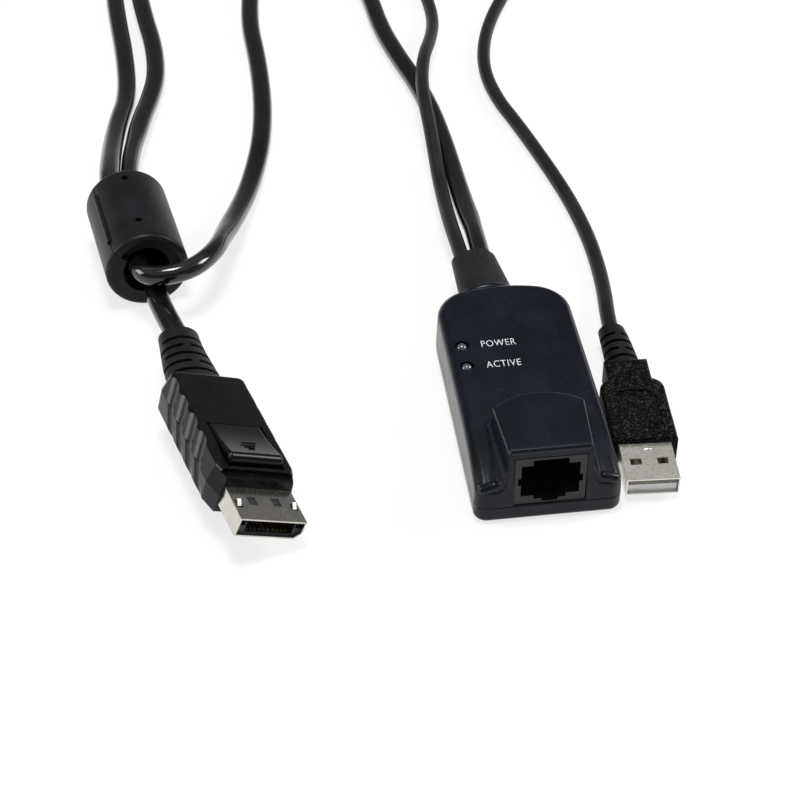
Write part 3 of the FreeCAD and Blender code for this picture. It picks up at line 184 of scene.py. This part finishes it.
def padPrintedInk(name):
    # pad-printed white ink: thin and dull, slightly uneven in cover
    material, tree, output, place = newMaterial(name)
    cover = addNode(tree, "ShaderNodeTexNoise", {"Scale": 1 / patternSizes["inkCover"], "Detail": 2.0},
                    {"Vector": place})
    colour = addNode(tree, "ShaderNodeValToRGB", links={"Fac": cover.outputs["Fac"]},
                     stops=[(0.3, linearColour("#a9adb1")), (0.6, linearColour("#d5d8da"))])
    shader = addNode(tree, "ShaderNodeBsdfPrincipled", {"Roughness": 0.55},
                     {"Base Color": colour.outputs["Color"]})
    tree.links.new(shader.outputs["BSDF"], output.inputs["Surface"])
    return material


plastics = {
    # ABS, finely eroded: near-black navy with a satin gloss
    "caseAbs": {"dark": "#090e15", "light": "#0f151f", "roughness": 0.24, "grain": 0.3, "depth": 0.02,
                "dustAndGlints": 0.06, "specular": 0.22},
    # soft PVC: dull charcoal
    "glandPvc": {"dark": "#121415", "light": "#1b1d1f", "roughness": 0.48, "grain": 0.4, "depth": 0.03,
                 "dustAndGlints": 0.1, "specular": 0.2},
    # glass-filled nylon: smooth black with a clear glint
    "jackNylon": {"dark": "#0f1012", "light": "#171819", "roughness": 0.36, "grain": 0.5, "depth": 0.01,
                  "specular": 0.4},
    # nylon, fine grain: even charcoal
    "clampNylon": {"dark": "#0d0f10", "light": "#15171a", "roughness": 0.38, "grain": 0.32, "depth": 0.025,
                   "dustAndGlints": 0.12, "specular": 0.18},
    # ABS from a polished mould: deep black and shiny
    "plugAbs": {"dark": "#060607", "light": "#0b0b0c", "roughness": 0.22, "grain": 0.5, "depth": 0.01,
                "dustAndGlints": 0.08, "coat": 0.05, "specular": 0.2},
    # soft PVC of the strain reliefs: matt black
    "plugPvc": {"dark": "#0c0d0e", "light": "#141516", "roughness": 0.5, "grain": 0.3, "depth": 0.06,
                "dustAndGlints": 0.1, "specular": 0.2},
    # PVC with a deep grain: black, with many small sparkles painted on as pale flecks and specks
    "plugGrainPvc": {"dark": "#010202", "light": "#040505", "roughness": 0.45, "grain": 0.4, "depth": 0.3,
                     "dustAndGlints": 0.3, "specular": 0.05, "paintedGlints": 0.2},
    # extruded PVC jacket: black, smooth, with narrow highlights
    "cordPvc": {"dark": "#08090a", "light": "#0e0f11", "roughness": 0.14, "grain": 0.6, "depth": 0.01,
                "dustAndGlints": 0.1, "coat": 0.5, "specular": 0.35},
    # matt extruded PVC jacket
    "cordMattPvc": {"dark": "#111315", "light": "#191c1e", "roughness": 0.42, "grain": 0.4, "depth": 0.015,
                    "dustAndGlints": 0.1, "specular": 0.25},
    # liquid-crystal polymer insulator: dark slate
    "insulatorLcp": {"dark": "#24272b", "light": "#2e3237", "roughness": 0.4, "grain": 0.3, "depth": 0.01},
    # white nylon tongue
    "tongueNylon": {"dark": "#dcdcd9", "light": "#efefec", "roughness": 0.4, "grain": 0.4, "depth": 0.01},
    # moulded epoxy chip package: dull black
    "chipEpoxy": {"dark": "#141414", "light": "#1c1c1d", "roughness": 0.6, "grain": 0.12, "depth": 0.01},
    # sintered ferrite: dark grey ceramic, fine-pored and dull
    "coreFerrite": {"dark": "#0a0a0b", "light": "#121213", "roughness": 0.6, "grain": 0.3, "depth": 0.02,
                    "specular": 0.2},
    # painted shade: the unlit gap between two mouldings
    "shadowGap": {"dark": "#020202", "light": "#040404", "roughness": 0.7, "grain": 0.3, "depth": 0.01,
                  "specular": 0.1},
}
metals = {
    # bright nickel over rolled steel
    "shellNickel": {"base": "#c2beb6", "roughness": 0.22, "streak": 0.15},
    # satin nickel with an even, undirected grain
    "shellSatin": {"base": "#e2dfd9", "roughness": 0.34, "streak": 0.4, "run": 0.4},
    # spring steel, slightly darker
    "springSteel": {"base": "#8f8b84", "roughness": 0.3, "streak": 0.2},
    # thin gold plate
    "contactGold": {"base": "#f2c468", "roughness": 0.36, "streak": 0.2},
}
materials = {name: mouldedPlastic(name, **finish) for name, finish in plastics.items()}
materials.update({name: platedSteel(name, **finish) for name, finish in metals.items()})
materials["lampResin"] = castResin("lampResin")
materials["boardFr4"] = glassFibreBoard("boardFr4")
materials["inkWhite"] = padPrintedInk("inkWhite")

nodesOfFinish = {
    "caseAbs": ["top_cover", "bottom_cover"],
    "boardFr4": ["circuit_board", "video_plug_board"],
    "chipEpoxy": ["main_chip", "video_chip"],
    "tongueNylon": ["cord_header", "data_plug_tongue"],
    "springSteel": ["case_screws", "latch_spring"],
    "jackNylon": ["network_jack"],
    "contactGold": ["jack_contacts", "video_plug_contacts", "data_plug_contacts"],
    "lampResin": ["active_led", "power_led"],
    "insulatorLcp": ["led_spacers", "video_plug_insulator"],
    "glandPvc": ["cable_gland"],
    "clampNylon": ["ferrite_case_lower", "ferrite_case_upper"],
    "coreFerrite": ["ferrite_core_lower", "ferrite_core_upper"],
    "plugAbs": ["video_plug_upper_cover", "video_plug_lower_cover", "latch_button"],
    "shellNickel": ["video_plug_shell"],
    "shellSatin": ["data_plug_shell"],
    "plugPvc": ["video_plug_relief", "data_plug_relief"],
    "plugGrainPvc": ["data_plug_body"],
}
for finish, nodeNames in nodesOfFinish.items():
    for nodeName in nodeNames:
        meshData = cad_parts[nodeName].data
        meshData.materials.clear()
        meshData.materials.append(materials[finish])
print("materials:", len(materials))


def tubeFaces(rings, count):
    # quads between neighbouring rings of count points each
    here = np.arange(rings - 1)[:, None] * count + np.arange(count)
    beside = np.arange(rings - 1)[:, None] * count + (np.arange(count) + 1) % count
    return np.stack([here, beside, beside + count, here + count], -1).reshape(-1, 4).tolist()


def tubeEnds(rings, count):
    # the first and the last ring, each closed by one face
    return [list(range(count)), list(range((rings - 1) * count, rings * count))]


def meshPiece(name, points, faces, material, body, smooth=True):
    # a finished mesh in frame coordinates that rides on a body
    mesh = bpy.data.meshes.new(name)
    mesh.from_pydata(np.asarray(points).tolist(), [], faces)
    mesh.materials.append(material)
    mesh.polygons.foreach_set("use_smooth", [smooth] * len(mesh.polygons))
    editable = bmesh.new()
    editable.from_mesh(mesh)
    bmesh.ops.recalc_face_normals(editable, faces=editable.faces)
    editable.to_mesh(mesh)
    editable.free()
    piece = bpy.data.objects.new(name, mesh)
    scene.collection.objects.link(piece)
    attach(piece, body)
    return piece


def placed(points, spot):
    # a sub-assembly's own millimetres, tilted about Y, then turned about Z, and moved to the frame in metres
    heading, tilt = (math.radians(turn) for turn in spot["turns"])
    matrix = Matrix.Rotation(heading, 3, "Z") @ Matrix.Rotation(tilt, 3, "Y")
    return (np.asarray(points) @ np.array(matrix).T + np.array(spot["place"])) * mm


# each route runs from the gland to its plug, in metres; wide and deep are the video cord's oval section,
# roundRuns are the stretches along it where it is gripped and round, and blend is how long it takes to
# change from the one to the other
videoCord = {
    "diameter": 0.005, "length": 0.914, "wide": 0.0056, "deep": 0.0044, "blend": 0.012,
    "roundRuns": [(0.0, 0.012), (0.444, 0.496), (0.822, 0.872)], "ringPoints": 28, "squareness": 2.4,
    "route": [
        (-0.001, 0.04375, 0.0076), (-0.0009, 0.051, 0.0072), (-0.0007, 0.0615, 0.0059),
        (-0.0009, 0.074, 0.0039), (-0.0011, 0.087, 0.0028), (-0.0013, 0.098, 0.0025),
        (-0.0018, 0.1108, 0.0025), (-0.0027, 0.1244, 0.0025), (-0.0048, 0.14, 0.0025),
        (-0.0084, 0.156, 0.0025), (-0.0115, 0.174, 0.0025), (-0.0126, 0.194, 0.0025),
        (-0.0145, 0.214, 0.0025), (-0.022, 0.234, 0.0025), (-0.038, 0.248, 0.0025),
        (-0.058, 0.253, 0.0025), (-0.078, 0.247, 0.0025), (-0.091, 0.231, 0.0025),
        (-0.0935, 0.211, 0.0025), (-0.0923, 0.19, 0.0025), (-0.0906, 0.17, 0.0025),
        (-0.0899, 0.152, 0.0025), (-0.0905, 0.1399, 0.003), (-0.0921, 0.13, 0.0042),
        (-0.0934, 0.119, 0.0056), (-0.0942, 0.107, 0.0078), (-0.0946, 0.0955, 0.0102),
        (-0.0946, 0.08492, 0.0122), (-0.09252, 0.07665, 0.0124), (-0.09041, 0.06332, 0.01235),
        (-0.08835, 0.05149, 0.0124), (-0.0871, 0.0394, 0.0133), (-0.0758, 0.0392, 0.014),
        (-0.0688, 0.0474, 0.0132), (-0.0656, 0.0608, 0.0093), (-0.0619, 0.0746, 0.0057),
        (-0.0585, 0.0872, 0.0034), (-0.0556, 0.0996, 0.0025), (-0.0531, 0.112, 0.0025),
        (-0.0516, 0.1245, 0.0025), (-0.0508, 0.137, 0.0025), (-0.0506, 0.1495, 0.0025),
        (-0.0508, 0.163, 0.0025), (-0.0516, 0.18, 0.0025), (-0.0506, 0.197, 0.0025),
        (-0.049, 0.212, 0.0025), (-0.05, 0.2245, 0.0025), (-0.06, 0.2345, 0.0025),
        (-0.075, 0.2345, 0.0025), (-0.086, 0.224, 0.0025), (-0.0856, 0.2085, 0.0025),
        (-0.0839, 0.1905, 0.0025), (-0.0814, 0.171, 0.0025), (-0.0812, 0.154, 0.0025),
        (-0.0835, 0.14, 0.003), (-0.0858, 0.129, 0.004), (-0.0876, 0.118, 0.0048),
        (-0.089, 0.107, 0.006), (-0.0897, 0.0965, 0.0074), (-0.08996, 0.08569, 0.0084),
        (-0.08867, 0.07729, 0.0086), (-0.08627, 0.064, 0.00865), (-0.0846, 0.05211, 0.0086),
        (-0.08414, 0.04256, 0.0079), (-0.0832, 0.0368, 0.0076), (-0.0817, 0.031, 0.0076),
        (-0.08029, 0.026, 0.00774), (-0.07888, 0.02088, 0.00774),
    ],
}
dataCord = {
    "diameter": 0.0039, "length": 0.444,
    "route": [
        (-0.0059, 0.04375, 0.0076), (-0.0061, 0.051, 0.0073), (-0.0063, 0.0617, 0.0061),
        (-0.0061, 0.074, 0.0045), (-0.0059, 0.086, 0.0043), (-0.0055, 0.098, 0.0056),
        (-0.0052, 0.11, 0.007), (-0.0051, 0.1221, 0.0078), (-0.0042, 0.134, 0.0079),
        (-0.0016, 0.148, 0.0072), (0.0025, 0.162, 0.0046), (0.0056, 0.178, 0.0024),
        (0.0054, 0.196, 0.002), (0.0042, 0.213, 0.002), (0.0046, 0.2285, 0.002),
        (0.0145, 0.2385, 0.002), (0.0285, 0.2385, 0.002), (0.0375, 0.2285, 0.002),
        (0.037, 0.212, 0.002), (0.032, 0.195, 0.002), (0.024, 0.178, 0.002),
        (0.0185, 0.161, 0.002), (0.0162, 0.144, 0.002), (0.0176, 0.1282, 0.002),
        (0.0206, 0.116, 0.002), (0.0233, 0.103, 0.002), (0.026, 0.089, 0.002),
        (0.0284, 0.074, 0.002), (0.0298, 0.0575, 0.002), (0.0296, 0.043, 0.0022),
        (0.0284, 0.03, 0.003), (0.027, 0.021, 0.0038), (0.02659, 0.01442, 0.0039),
    ],
}


def routeCurve(name, settings, thickness):
    # a smooth NURBS line with the route's points as its control points, round in section
    curve = bpy.data.curves.new(name, "CURVE")
    curve.dimensions = "3D"
    curve.resolution_u = 10
    curve.bevel_depth = thickness / 2
    curve.bevel_resolution = 6
    curve.use_fill_caps = True
    route = np.array(settings["route"])
    spline = curve.splines.new("NURBS")
    spline.points.add(len(route) - 1)
    spline.points.foreach_set("co", np.hstack([route, np.ones((len(route), 1))]).ravel())
    spline.order_u = 3
    spline.use_endpoint_u = True
    piece = bpy.data.objects.new(name, curve)
    scene.collection.objects.link(piece)
    return piece


def layRoundCord(name, settings, material, node):
    # the route with a round jacket
    piece = routeCurve(name, settings, settings["diameter"])
    piece.data.materials.append(material)
    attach(piece, "adapter")
    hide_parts(node)
    return piece


def layOvalCord(name, settings, material, node):
    # the route with an oval jacket: rings at right angles to the smooth line
    guide = routeCurve(name + "Guide", settings, 0.0)
    line = bpy.data.meshes.new_from_object(guide.evaluated_get(bpy.context.evaluated_depsgraph_get()))
    path = np.empty(len(line.vertices) * 3)
    line.vertices.foreach_get("co", path)
    path = path.reshape(-1, 3)
    bpy.data.meshes.remove(line)
    bpy.data.objects.remove(guide)
    steps = np.linalg.norm(np.diff(path, axis=0), axis=1)
    path = path[np.concatenate([[True], steps > 1e-6])]
    run = np.concatenate([[0], np.cumsum(np.linalg.norm(np.diff(path, axis=0), axis=1))])
    # the wide way lies flat: across = along x up, and high = across x along
    along = np.gradient(path, axis=0)
    along /= np.linalg.norm(along, axis=1)[:, None]
    across = np.cross(along, (0, 0, 1))
    across /= np.linalg.norm(across, axis=1)[:, None]
    high = np.cross(across, along)
    # share = how oval the jacket is: a smooth step, 3 s^2 - 2 s^3, of the way s from each grip
    share = np.ones(len(run))
    for start, end in settings["roundRuns"]:
        away = np.clip(np.maximum(start - run, run - end) / settings["blend"], 0, 1)
        share *= away ** 2 * (3 - 2 * away)
    radius = settings["diameter"] / 2
    wide = radius + (settings["wide"] / 2 - radius) * share
    deep = radius + (settings["deep"] / 2 - radius) * share
    # section |x / wide|^n + |z / deep|^n = 1 with n the squareness, blended to a circle by share
    count = settings["ringPoints"]
    turn = np.linspace(0, 2 * math.pi, count, endpoint=False)
    power = 2 / settings["squareness"]
    ovalX = np.sign(np.cos(turn)) * np.abs(np.cos(turn)) ** power
    ovalZ = np.sign(np.sin(turn)) * np.abs(np.sin(turn)) ** power
    soft = share[:, None]
    ringX = (ovalX * soft + np.cos(turn) * (1 - soft)) * wide[:, None]
    ringZ = (ovalZ * soft + np.sin(turn) * (1 - soft)) * deep[:, None]
    rings = path[:, None] + across[:, None] * ringX[..., None] + high[:, None] * ringZ[..., None]
    points = np.concatenate([rings.reshape(-1, 3), path[:1], path[-1:]])
    # each end is a fan of triangles round the line's own end point
    firstEnd = len(path) * count
    lastRing = firstEnd - count
    here = np.arange(count)
    beside = (here + 1) % count
    firstFan = np.stack([np.full(count, firstEnd), beside, here], 1).tolist()
    lastFan = np.stack([np.full(count, firstEnd + 1), lastRing + here, lastRing + beside], 1).tolist()
    faces = tubeFaces(len(path), count) + firstFan + lastFan
    piece = meshPiece(name, points, faces, material, "adapter")
    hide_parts(node)
    return piece, [tuple(point) for point in np.vstack([path[::4], path[-1:]]).tolist()]


videoPiece, videoPath = layOvalCord("videoCordPiece", videoCord, materials["cordPvc"], "video_cable")
dataPiece = layRoundCord("dataCordPiece", dataCord, materials["cordMattPvc"], "data_cable")
print("cords laid")


# the view: heading is a level unit direction, down and roll are degrees
cameraSettings = {
    "place": (-0.0683, -0.3291, 0.2844), "heading": (0.1226, 0.9925), "down": 40.585, "roll": -0.348,
    "lens": 82.44,
}
down = math.radians(cameraSettings["down"])
roll = math.radians(cameraSettings["roll"])
headX, headY = cameraSettings["heading"]
forward = Vector((headX * math.cos(down), headY * math.cos(down), -math.sin(down))).normalized()
level = Vector((headY, -headX, 0)).normalized()
upright = level.cross(forward)
right = level * math.cos(roll) + upright * math.sin(roll)
camera = bpy.data.cameras.new("camera")
camera.lens = cameraSettings["lens"]
camera.clip_start = 0.01
cameraObject = bpy.data.objects.new("camera", camera)
cameraTurn = Matrix((right, right.cross(forward), -forward)).transposed()
cameraObject.matrix_world = Matrix.Translation(cameraSettings["place"]) @ cameraTurn.to_4x4()
scene.collection.objects.link(cameraObject)
scene.camera = cameraObject

# keep is the share of the table's seen white that does not darken in the object's shadow
tableSettings = {"reach": 4.0, "sunk": 0.0001, "paint": "#e9eaec", "shadowed": 0.92, "keep": 0.72}


def makeTable(settings):
    # a wide painted table: pale paint where its light falls on the object, near white to the eye and in
    # reflections, with a faint share of the object's shadow
    material, tree, output, _ = newMaterial("paleTable")
    paint = addNode(tree, "ShaderNodeBsdfDiffuse", {"Color": linearColour(settings["paint"])})
    shadowed = addNode(tree, "ShaderNodeBsdfDiffuse", {"Color": grey(settings["shadowed"])})
    glow = addNode(tree, "ShaderNodeEmission", {"Color": grey(1.0), "Strength": 1.0})
    white = addNode(tree, "ShaderNodeMixShader", {0: settings["keep"]},
                    {1: shadowed.outputs[0], 2: glow.outputs[0]})
    ray = addNode(tree, "ShaderNodeLightPath")
    direct = addNode(tree, "ShaderNodeMath",
                     links={0: ray.outputs["Is Camera Ray"], 1: ray.outputs["Is Glossy Ray"]},
                     operation="MAXIMUM")
    seen = addNode(tree, "ShaderNodeMath",
                   links={0: direct.outputs[0], 1: ray.outputs["Is Transmission Ray"]}, operation="MAXIMUM")
    surface = addNode(tree, "ShaderNodeMixShader",
                      links={0: seen.outputs[0], 1: paint.outputs[0], 2: white.outputs[0]})
    tree.links.new(surface.outputs[0], output.inputs["Surface"])
    corners = np.array([(-1, -1), (1, -1), (1, 1), (-1, 1)]) * settings["reach"]
    tableTop = bpy.data.meshes.new("table")
    tableTop.from_pydata(np.insert(corners, 2, -settings["sunk"], axis=1).tolist(), [], [(0, 1, 2, 3)])
    tableTop.materials.append(material)
    table = bpy.data.objects.new("table", tableTop)
    scene.collection.objects.link(table)


lights = {
    "overhead": {"place": (-0.05, 0.02, 1.0), "aim": (-0.03, 0.06, 0), "size": 0.3, "power": 6.5},
    "leftWindow": {"place": (-0.85, 0.1, 0.35), "aim": (-0.03, 0.03, 0), "size": 0.4, "power": 3.6},
    "rightWindow": {"place": (0.7, 0.1, 0.45), "aim": (0, 0.03, 0), "size": 0.3, "power": 4.5},
}
for lightName, values in lights.items():
    lamp = bpy.data.lights.new(lightName, "AREA")
    lamp.size = values["size"]
    lamp.energy = values["power"]
    holder = bpy.data.objects.new(lightName, lamp)
    holder.location = values["place"]
    towards = Vector(values["aim"]) - Vector(values["place"])
    holder.rotation_euler = towards.to_track_quat("-Z", "Y").to_euler()
    scene.collection.objects.link(holder)

# the room's light by height, as (sine of the height angle, strength): pale walls low down, a dim band
# above them and a lit ceiling
roomLight = [(0.0, 0.7), (0.16, 0.2), (0.6, 0.1), (0.72, 0.6), (1.0, 0.35)]
world = bpy.data.worlds.new("paleRoom")
world.use_nodes = True
scene.world = world
worldTree = world.node_tree
worldTree.nodes.clear()
direction = addNode(worldTree, "ShaderNodeTexCoord")
height = addNode(worldTree, "ShaderNodeSeparateXYZ", links={0: direction.outputs["Generated"]})
room = addNode(worldTree, "ShaderNodeValToRGB", links={"Fac": height.outputs["Z"]},
               stops=[(sine, grey(strength)) for sine, strength in roomLight])
sky = addNode(worldTree, "ShaderNodeBackground", {"Strength": 1.0}, {"Color": room.outputs["Color"]})
backdrop = addNode(worldTree, "ShaderNodeBackground", {"Color": grey(1.0), "Strength": 1.0})
worldRay = addNode(worldTree, "ShaderNodeLightPath")
worldMix = addNode(worldTree, "ShaderNodeMixShader",
                   links={0: worldRay.outputs["Is Camera Ray"], 1: sky.outputs[0], 2: backdrop.outputs[0]})
addNode(worldTree, "ShaderNodeOutputWorld", links={"Surface": worldMix.outputs[0]})
makeTable(tableSettings)
scene.view_settings.view_transform = "Standard"
print("camera, table and lights set")


# the case's moulded details, in millimetres; draft is the tangent of the walls' 2.5 degrees, and tip is
# the angle, in radians, of a ridge's first and last ring
caseForm = {
    "front": -43.75, "frontHeight": 9.3, "seam": 4.4, "draft": 0.0437, "rise": 0.3154, "bow": 0.006657,
}
hoodSkirt = {
    "half": 9.3, "spread": 0.064, "top": 19.8, "run": 15.0, "width": 4.6, "height": 6.2, "end": 2.05,
    "setBack": 0.3, "lift": 0.03, "sunk": 0.02, "fold": 0.3, "root": 0.5, "rows": 30, "columns": 14,
}
frontRidge = {
    "inner": (12.3, 9.7), "outer": (14.6, 8.9), "radius": 1.25, "setBack": 0.25, "tip": 0.02,
    "rings": 22, "points": 24,
}
glandArch = {
    "centre": (-2.2, 7.3), "halfWide": 7.35, "halfHigh": 4.9, "rear": 26.5, "thick": 0.55, "deep": 1.0,
    "rings": 40, "points": 16,
}


def caseTop(run):
    # height of the case's sloped top at a distance t behind its front: z = h + rise t - bow t^2
    return caseForm["frontHeight"] + caseForm["rise"] * run - caseForm["bow"] * run ** 2


def makeSkirt(name, side, skirt):
    # the concave sweep from the hood's side down to the case's front corner:
    # x = a + w (1 - cos v), z = top - h sin v, with w and h shrinking to the rear
    run = np.linspace(0, skirt["run"], skirt["rows"])[:, None]
    left = 1 - run / skirt["run"]
    width = skirt["end"] + (skirt["width"] - skirt["end"]) * left
    height = skirt["end"] + (skirt["height"] - skirt["end"]) * left
    low = caseTop(run) + skirt["lift"]
    angle = np.linspace(0, math.pi / 2, skirt["columns"])
    lean = caseForm["draft"] * (skirt["top"] - low - height)
    wall = skirt["half"] + skirt["spread"] * run + lean - skirt["sunk"]
    x = wall + width * (1 - np.cos(angle))
    z = low + height * (1 - np.sin(angle))
    # two more columns fold the lower edge back inside the case
    x = np.hstack([x, x[:, -1:] - skirt["fold"], wall - skirt["root"]])
    z = np.hstack([z, low - skirt["root"], low - skirt["root"]])
    y = caseForm["front"] + skirt["setBack"] + caseForm["draft"] * (z - caseForm["seam"]) + run
    points = np.stack([side * x, y, z], -1).reshape(-1, 3)
    count = skirt["columns"] + 2
    faces = tubeFaces(skirt["rows"], count) + tubeEnds(skirt["rows"], count)
    piece = meshPiece(name, points * mm, faces, materials["caseAbs"], "adapter")
    piece.data.polygons[len(faces) - 2].use_smooth = False  # the front end is a flat face


def makeRidge(name, side, ridge):
    # a bar with ball ends: rings of radius r sin(a) round the line, with centres r cos(a) past its ends
    y = caseForm["front"] + ridge["radius"] + ridge["setBack"]
    start = np.array([side * ridge["outer"][0], y, ridge["outer"][1]])
    end = np.array([side * ridge["inner"][0], y, ridge["inner"][1]])
    axis = (end - start) / np.linalg.norm(end - start)
    beside = np.cross(axis, (0, 0, 1))
    beside /= np.linalg.norm(beside)
    above = np.cross(beside, axis)
    turn = np.linspace(0, 2 * math.pi, ridge["points"], endpoint=False)[:, None]
    angle = np.linspace(ridge["tip"], math.pi - ridge["tip"], ridge["rings"])[:, None, None]
    centre = np.where(angle < math.pi / 2, start, end) - axis * ridge["radius"] * np.cos(angle)
    points = centre + ridge["radius"] * np.sin(angle) * (np.cos(turn) * beside + np.sin(turn) * above)
    faces = tubeFaces(ridge["rings"], ridge["points"]) + tubeEnds(ridge["rings"], ridge["points"])
    meshPiece(name, points.reshape(-1, 3) * mm, faces, materials["caseAbs"], "adapter")


def makeGlandArch(arch):
    # the case's small arch over the gland: a half ellipse in X and Z carries an oval section,
    # thick away from its middle and deep along Y
    angle = np.linspace(0, math.pi, arch["rings"])[:, None]
    ring = np.linspace(0, 2 * math.pi, arch["points"], endpoint=False)
    outX = np.cos(angle) * arch["halfHigh"]
    outZ = np.sin(angle) * arch["halfWide"]
    reach = arch["thick"] * np.cos(ring) / np.hypot(outX, outZ)
    x = arch["centre"][0] + arch["halfWide"] * np.cos(angle) + reach * outX
    y = arch["rear"] + arch["deep"] * np.sin(ring)
    z = arch["centre"][1] + arch["halfHigh"] * np.sin(angle) + reach * outZ
    points = np.stack(np.broadcast_arrays(x, y, z), -1).reshape(-1, 3)
    faces = tubeFaces(arch["rings"], arch["points"]) + tubeEnds(arch["rings"], arch["points"])
    meshPiece("glandArch", points * mm, faces, materials["caseAbs"], "adapter")


for side, hand in ((-1, "Left"), (1, "Right")):
    makeSkirt("hoodSkirt" + hand, side, hoodSkirt)
    makeRidge("frontRidge" + hand, side, frontRidge)
makeGlandArch(glandArch)
print("case details made")


# where the sub-assemblies lie: a place in millimetres and two turns in degrees
clampSpot = {"place": (-85.4, 45.9, 10.5), "turns": (9.4, 40.0)}
plugSpot = {"place": (-61.6, -48.0, 8.5), "turns": (15.4, 24.8)}
dataSpot = {"place": (24.0, -41.0, 3.9), "turns": (-3.5, 0.0)}

# painted shade of the clamp's seam: a near-black strip, its sizes in millimetres
clampSeamShade = {
    "radius": 10.5, "length": 31.5, "edge": 1.3, "half": 0.14, "proud": 0.02, "sunk": 0.2, "bendPoints": 8,
}
# each row is a mark's distance along the plug and half its width
pressMarks = {"rows": ((19.4, 0.7), (20.5, 1.25), (21.6, 1.8)), "half": 0.18, "rise": 0.24, "sunk": 0.22}
buttonBack = {"front": 17.1, "rear": 29.6, "height": 7.3, "fall": 0.1392, "hollow": 0.001}
shellStop = {
    "centre": (0.2, 10.2), "reach": (1.1, 0.5), "shell": 2.2, "rise": 0.28, "points": 28,
    "rings": (1.0, 0.8, 0.55, 0.3, 0.05),
}


def makeClampSeamShade(seam):
    # painted shade of the gap between the clamp's halves: a thin near-black strip along the shell, which
    # stands proud by p, with x = R - e + (e + p) sin v and y = e - (e + p) cos v round each of its rounded
    # ends
    bend = np.linspace(0, math.pi / 2, seam["bendPoints"])
    out = seam["radius"] - seam["edge"] + (seam["edge"] + seam["proud"]) * np.sin(bend)
    along = seam["edge"] - (seam["edge"] + seam["proud"]) * np.cos(bend)
    x = -np.concatenate([out, out[::-1]])
    y = np.concatenate([along, seam["length"] - along[::-1]])
    innerX = x + seam["sunk"]
    innerY = np.clip(y, seam["sunk"], seam["length"] - seam["sunk"])
    z = np.full(len(x), seam["half"])
    corners = [(x, y, -z), (x, y, z), (innerX, innerY, z), (innerX, innerY, -z)]
    points = np.stack([np.stack(corner, 1) for corner in corners], 1).reshape(-1, 3)
    faces = tubeFaces(len(x), 4) + tubeEnds(len(x), 4)
    meshPiece("clampSeamShade", placed(points, clampSpot), faces, materials["shadowGap"], "adapter",
              False)


def buttonTop(y):
    # height of the latch button's back along the plug: z = h - f t - c t (rear - y), with t = y - front
    run = y - buttonBack["front"]
    dip = buttonBack["hollow"] * run * (buttonBack["rear"] - y)
    return buttonBack["height"] - buttonBack["fall"] * run - dip


def makePressMarks(marks):
    # three short raised bars that show where to press, each a box of half its width by half by rise
    box = np.array([(-1, -1, 0), (1, -1, 0), (1, 1, 0), (-1, 1, 0),
                    (-1, -1, 1), (1, -1, 1), (1, 1, 1), (-1, 1, 1)])
    faces = [(0, 1, 2, 3), (4, 5, 6, 7), (0, 1, 5, 4), (1, 2, 6, 5), (2, 3, 7, 6), (3, 0, 4, 7)]
    for index, (y, half) in enumerate(marks["rows"]):
        points = box * (half, marks["half"], marks["rise"]) + (0, y, buttonTop(y) - marks["sunk"])
        meshPiece(f"pressMark{index}", placed(points, plugSpot), faces, materials["plugAbs"], "latch",
                  False)


def makeShellStop(stop):
    # the shell's pressed stop just in front of the moulding: z = h (1 - r^2) on an oval
    turn = np.linspace(0, 2 * math.pi, stop["points"], endpoint=False)
    out = np.array(stop["rings"])[:, None]
    x = stop["centre"][0] + stop["reach"][0] * out * np.cos(turn)
    y = stop["centre"][1] + stop["reach"][1] * out * np.sin(turn)
    z = stop["shell"] + stop["rise"] * (1 - out ** 2)
    points = np.stack(np.broadcast_arrays(x, y, z), -1).reshape(-1, 3)
    faces = tubeFaces(len(out), stop["points"]) + tubeEnds(len(out), stop["points"])
    meshPiece("shellDimple", placed(points, dataSpot), faces, materials["shellSatin"], "adapter")


makeClampSeamShade(clampSeamShade)
makePressMarks(pressMarks)
makeShellStop(shellStop)
print("clamp and plug details made")


# the two printed words, in metres; thin takes a little off the strokes, and space is the letters'
# spacing against the font's own
wordsOnCase = {
    "words": ("POWER", "ACTIVE"), "left": -0.0079, "baselines": (0.0018, -0.0059), "capHeight": 0.0023,
    "widths": (0.0082, 0.0081), "top": 0.01303, "thickness": 0.00002, "thin": -0.007, "space": 1.12,
}


def printWord(word, baseline, width, settings):
    # the word's outline scaled to its printed width and height, lying on the case
    text = bpy.data.curves.new("word" + word, "FONT")
    text.body = word
    text.extrude = 0.5  # any depth will do, since it is scaled to the print's thickness below
    text.offset = settings["thin"]
    text.space_character = settings["space"]
    holder = bpy.data.objects.new("word" + word, text)
    scene.collection.objects.link(holder)
    bpy.context.view_layer.update()
    mesh = bpy.data.meshes.new_from_object(holder.evaluated_get(bpy.context.evaluated_depsgraph_get()))
    bpy.data.objects.remove(holder)
    points = np.empty(len(mesh.vertices) * 3)
    mesh.vertices.foreach_get("co", points)
    points = points.reshape(-1, 3)
    size = (width, settings["capHeight"], settings["thickness"])
    points = (points - points.min(axis=0)) / np.ptp(points, axis=0) * size
    points += (settings["left"], baseline, settings["top"] - settings["thickness"])
    mesh.vertices.foreach_set("co", points.ravel())
    mesh.materials.clear()
    mesh.materials.append(materials["inkWhite"])
    piece = bpy.data.objects.new("print" + word.title(), mesh)
    scene.collection.objects.link(piece)
    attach(piece, "adapter")


for word, baseline, width in zip(wordsOnCase["words"], wordsOnCase["baselines"], wordsOnCase["widths"]):
    printWord(word, baseline, width, wordsOnCase)
print("words printed")
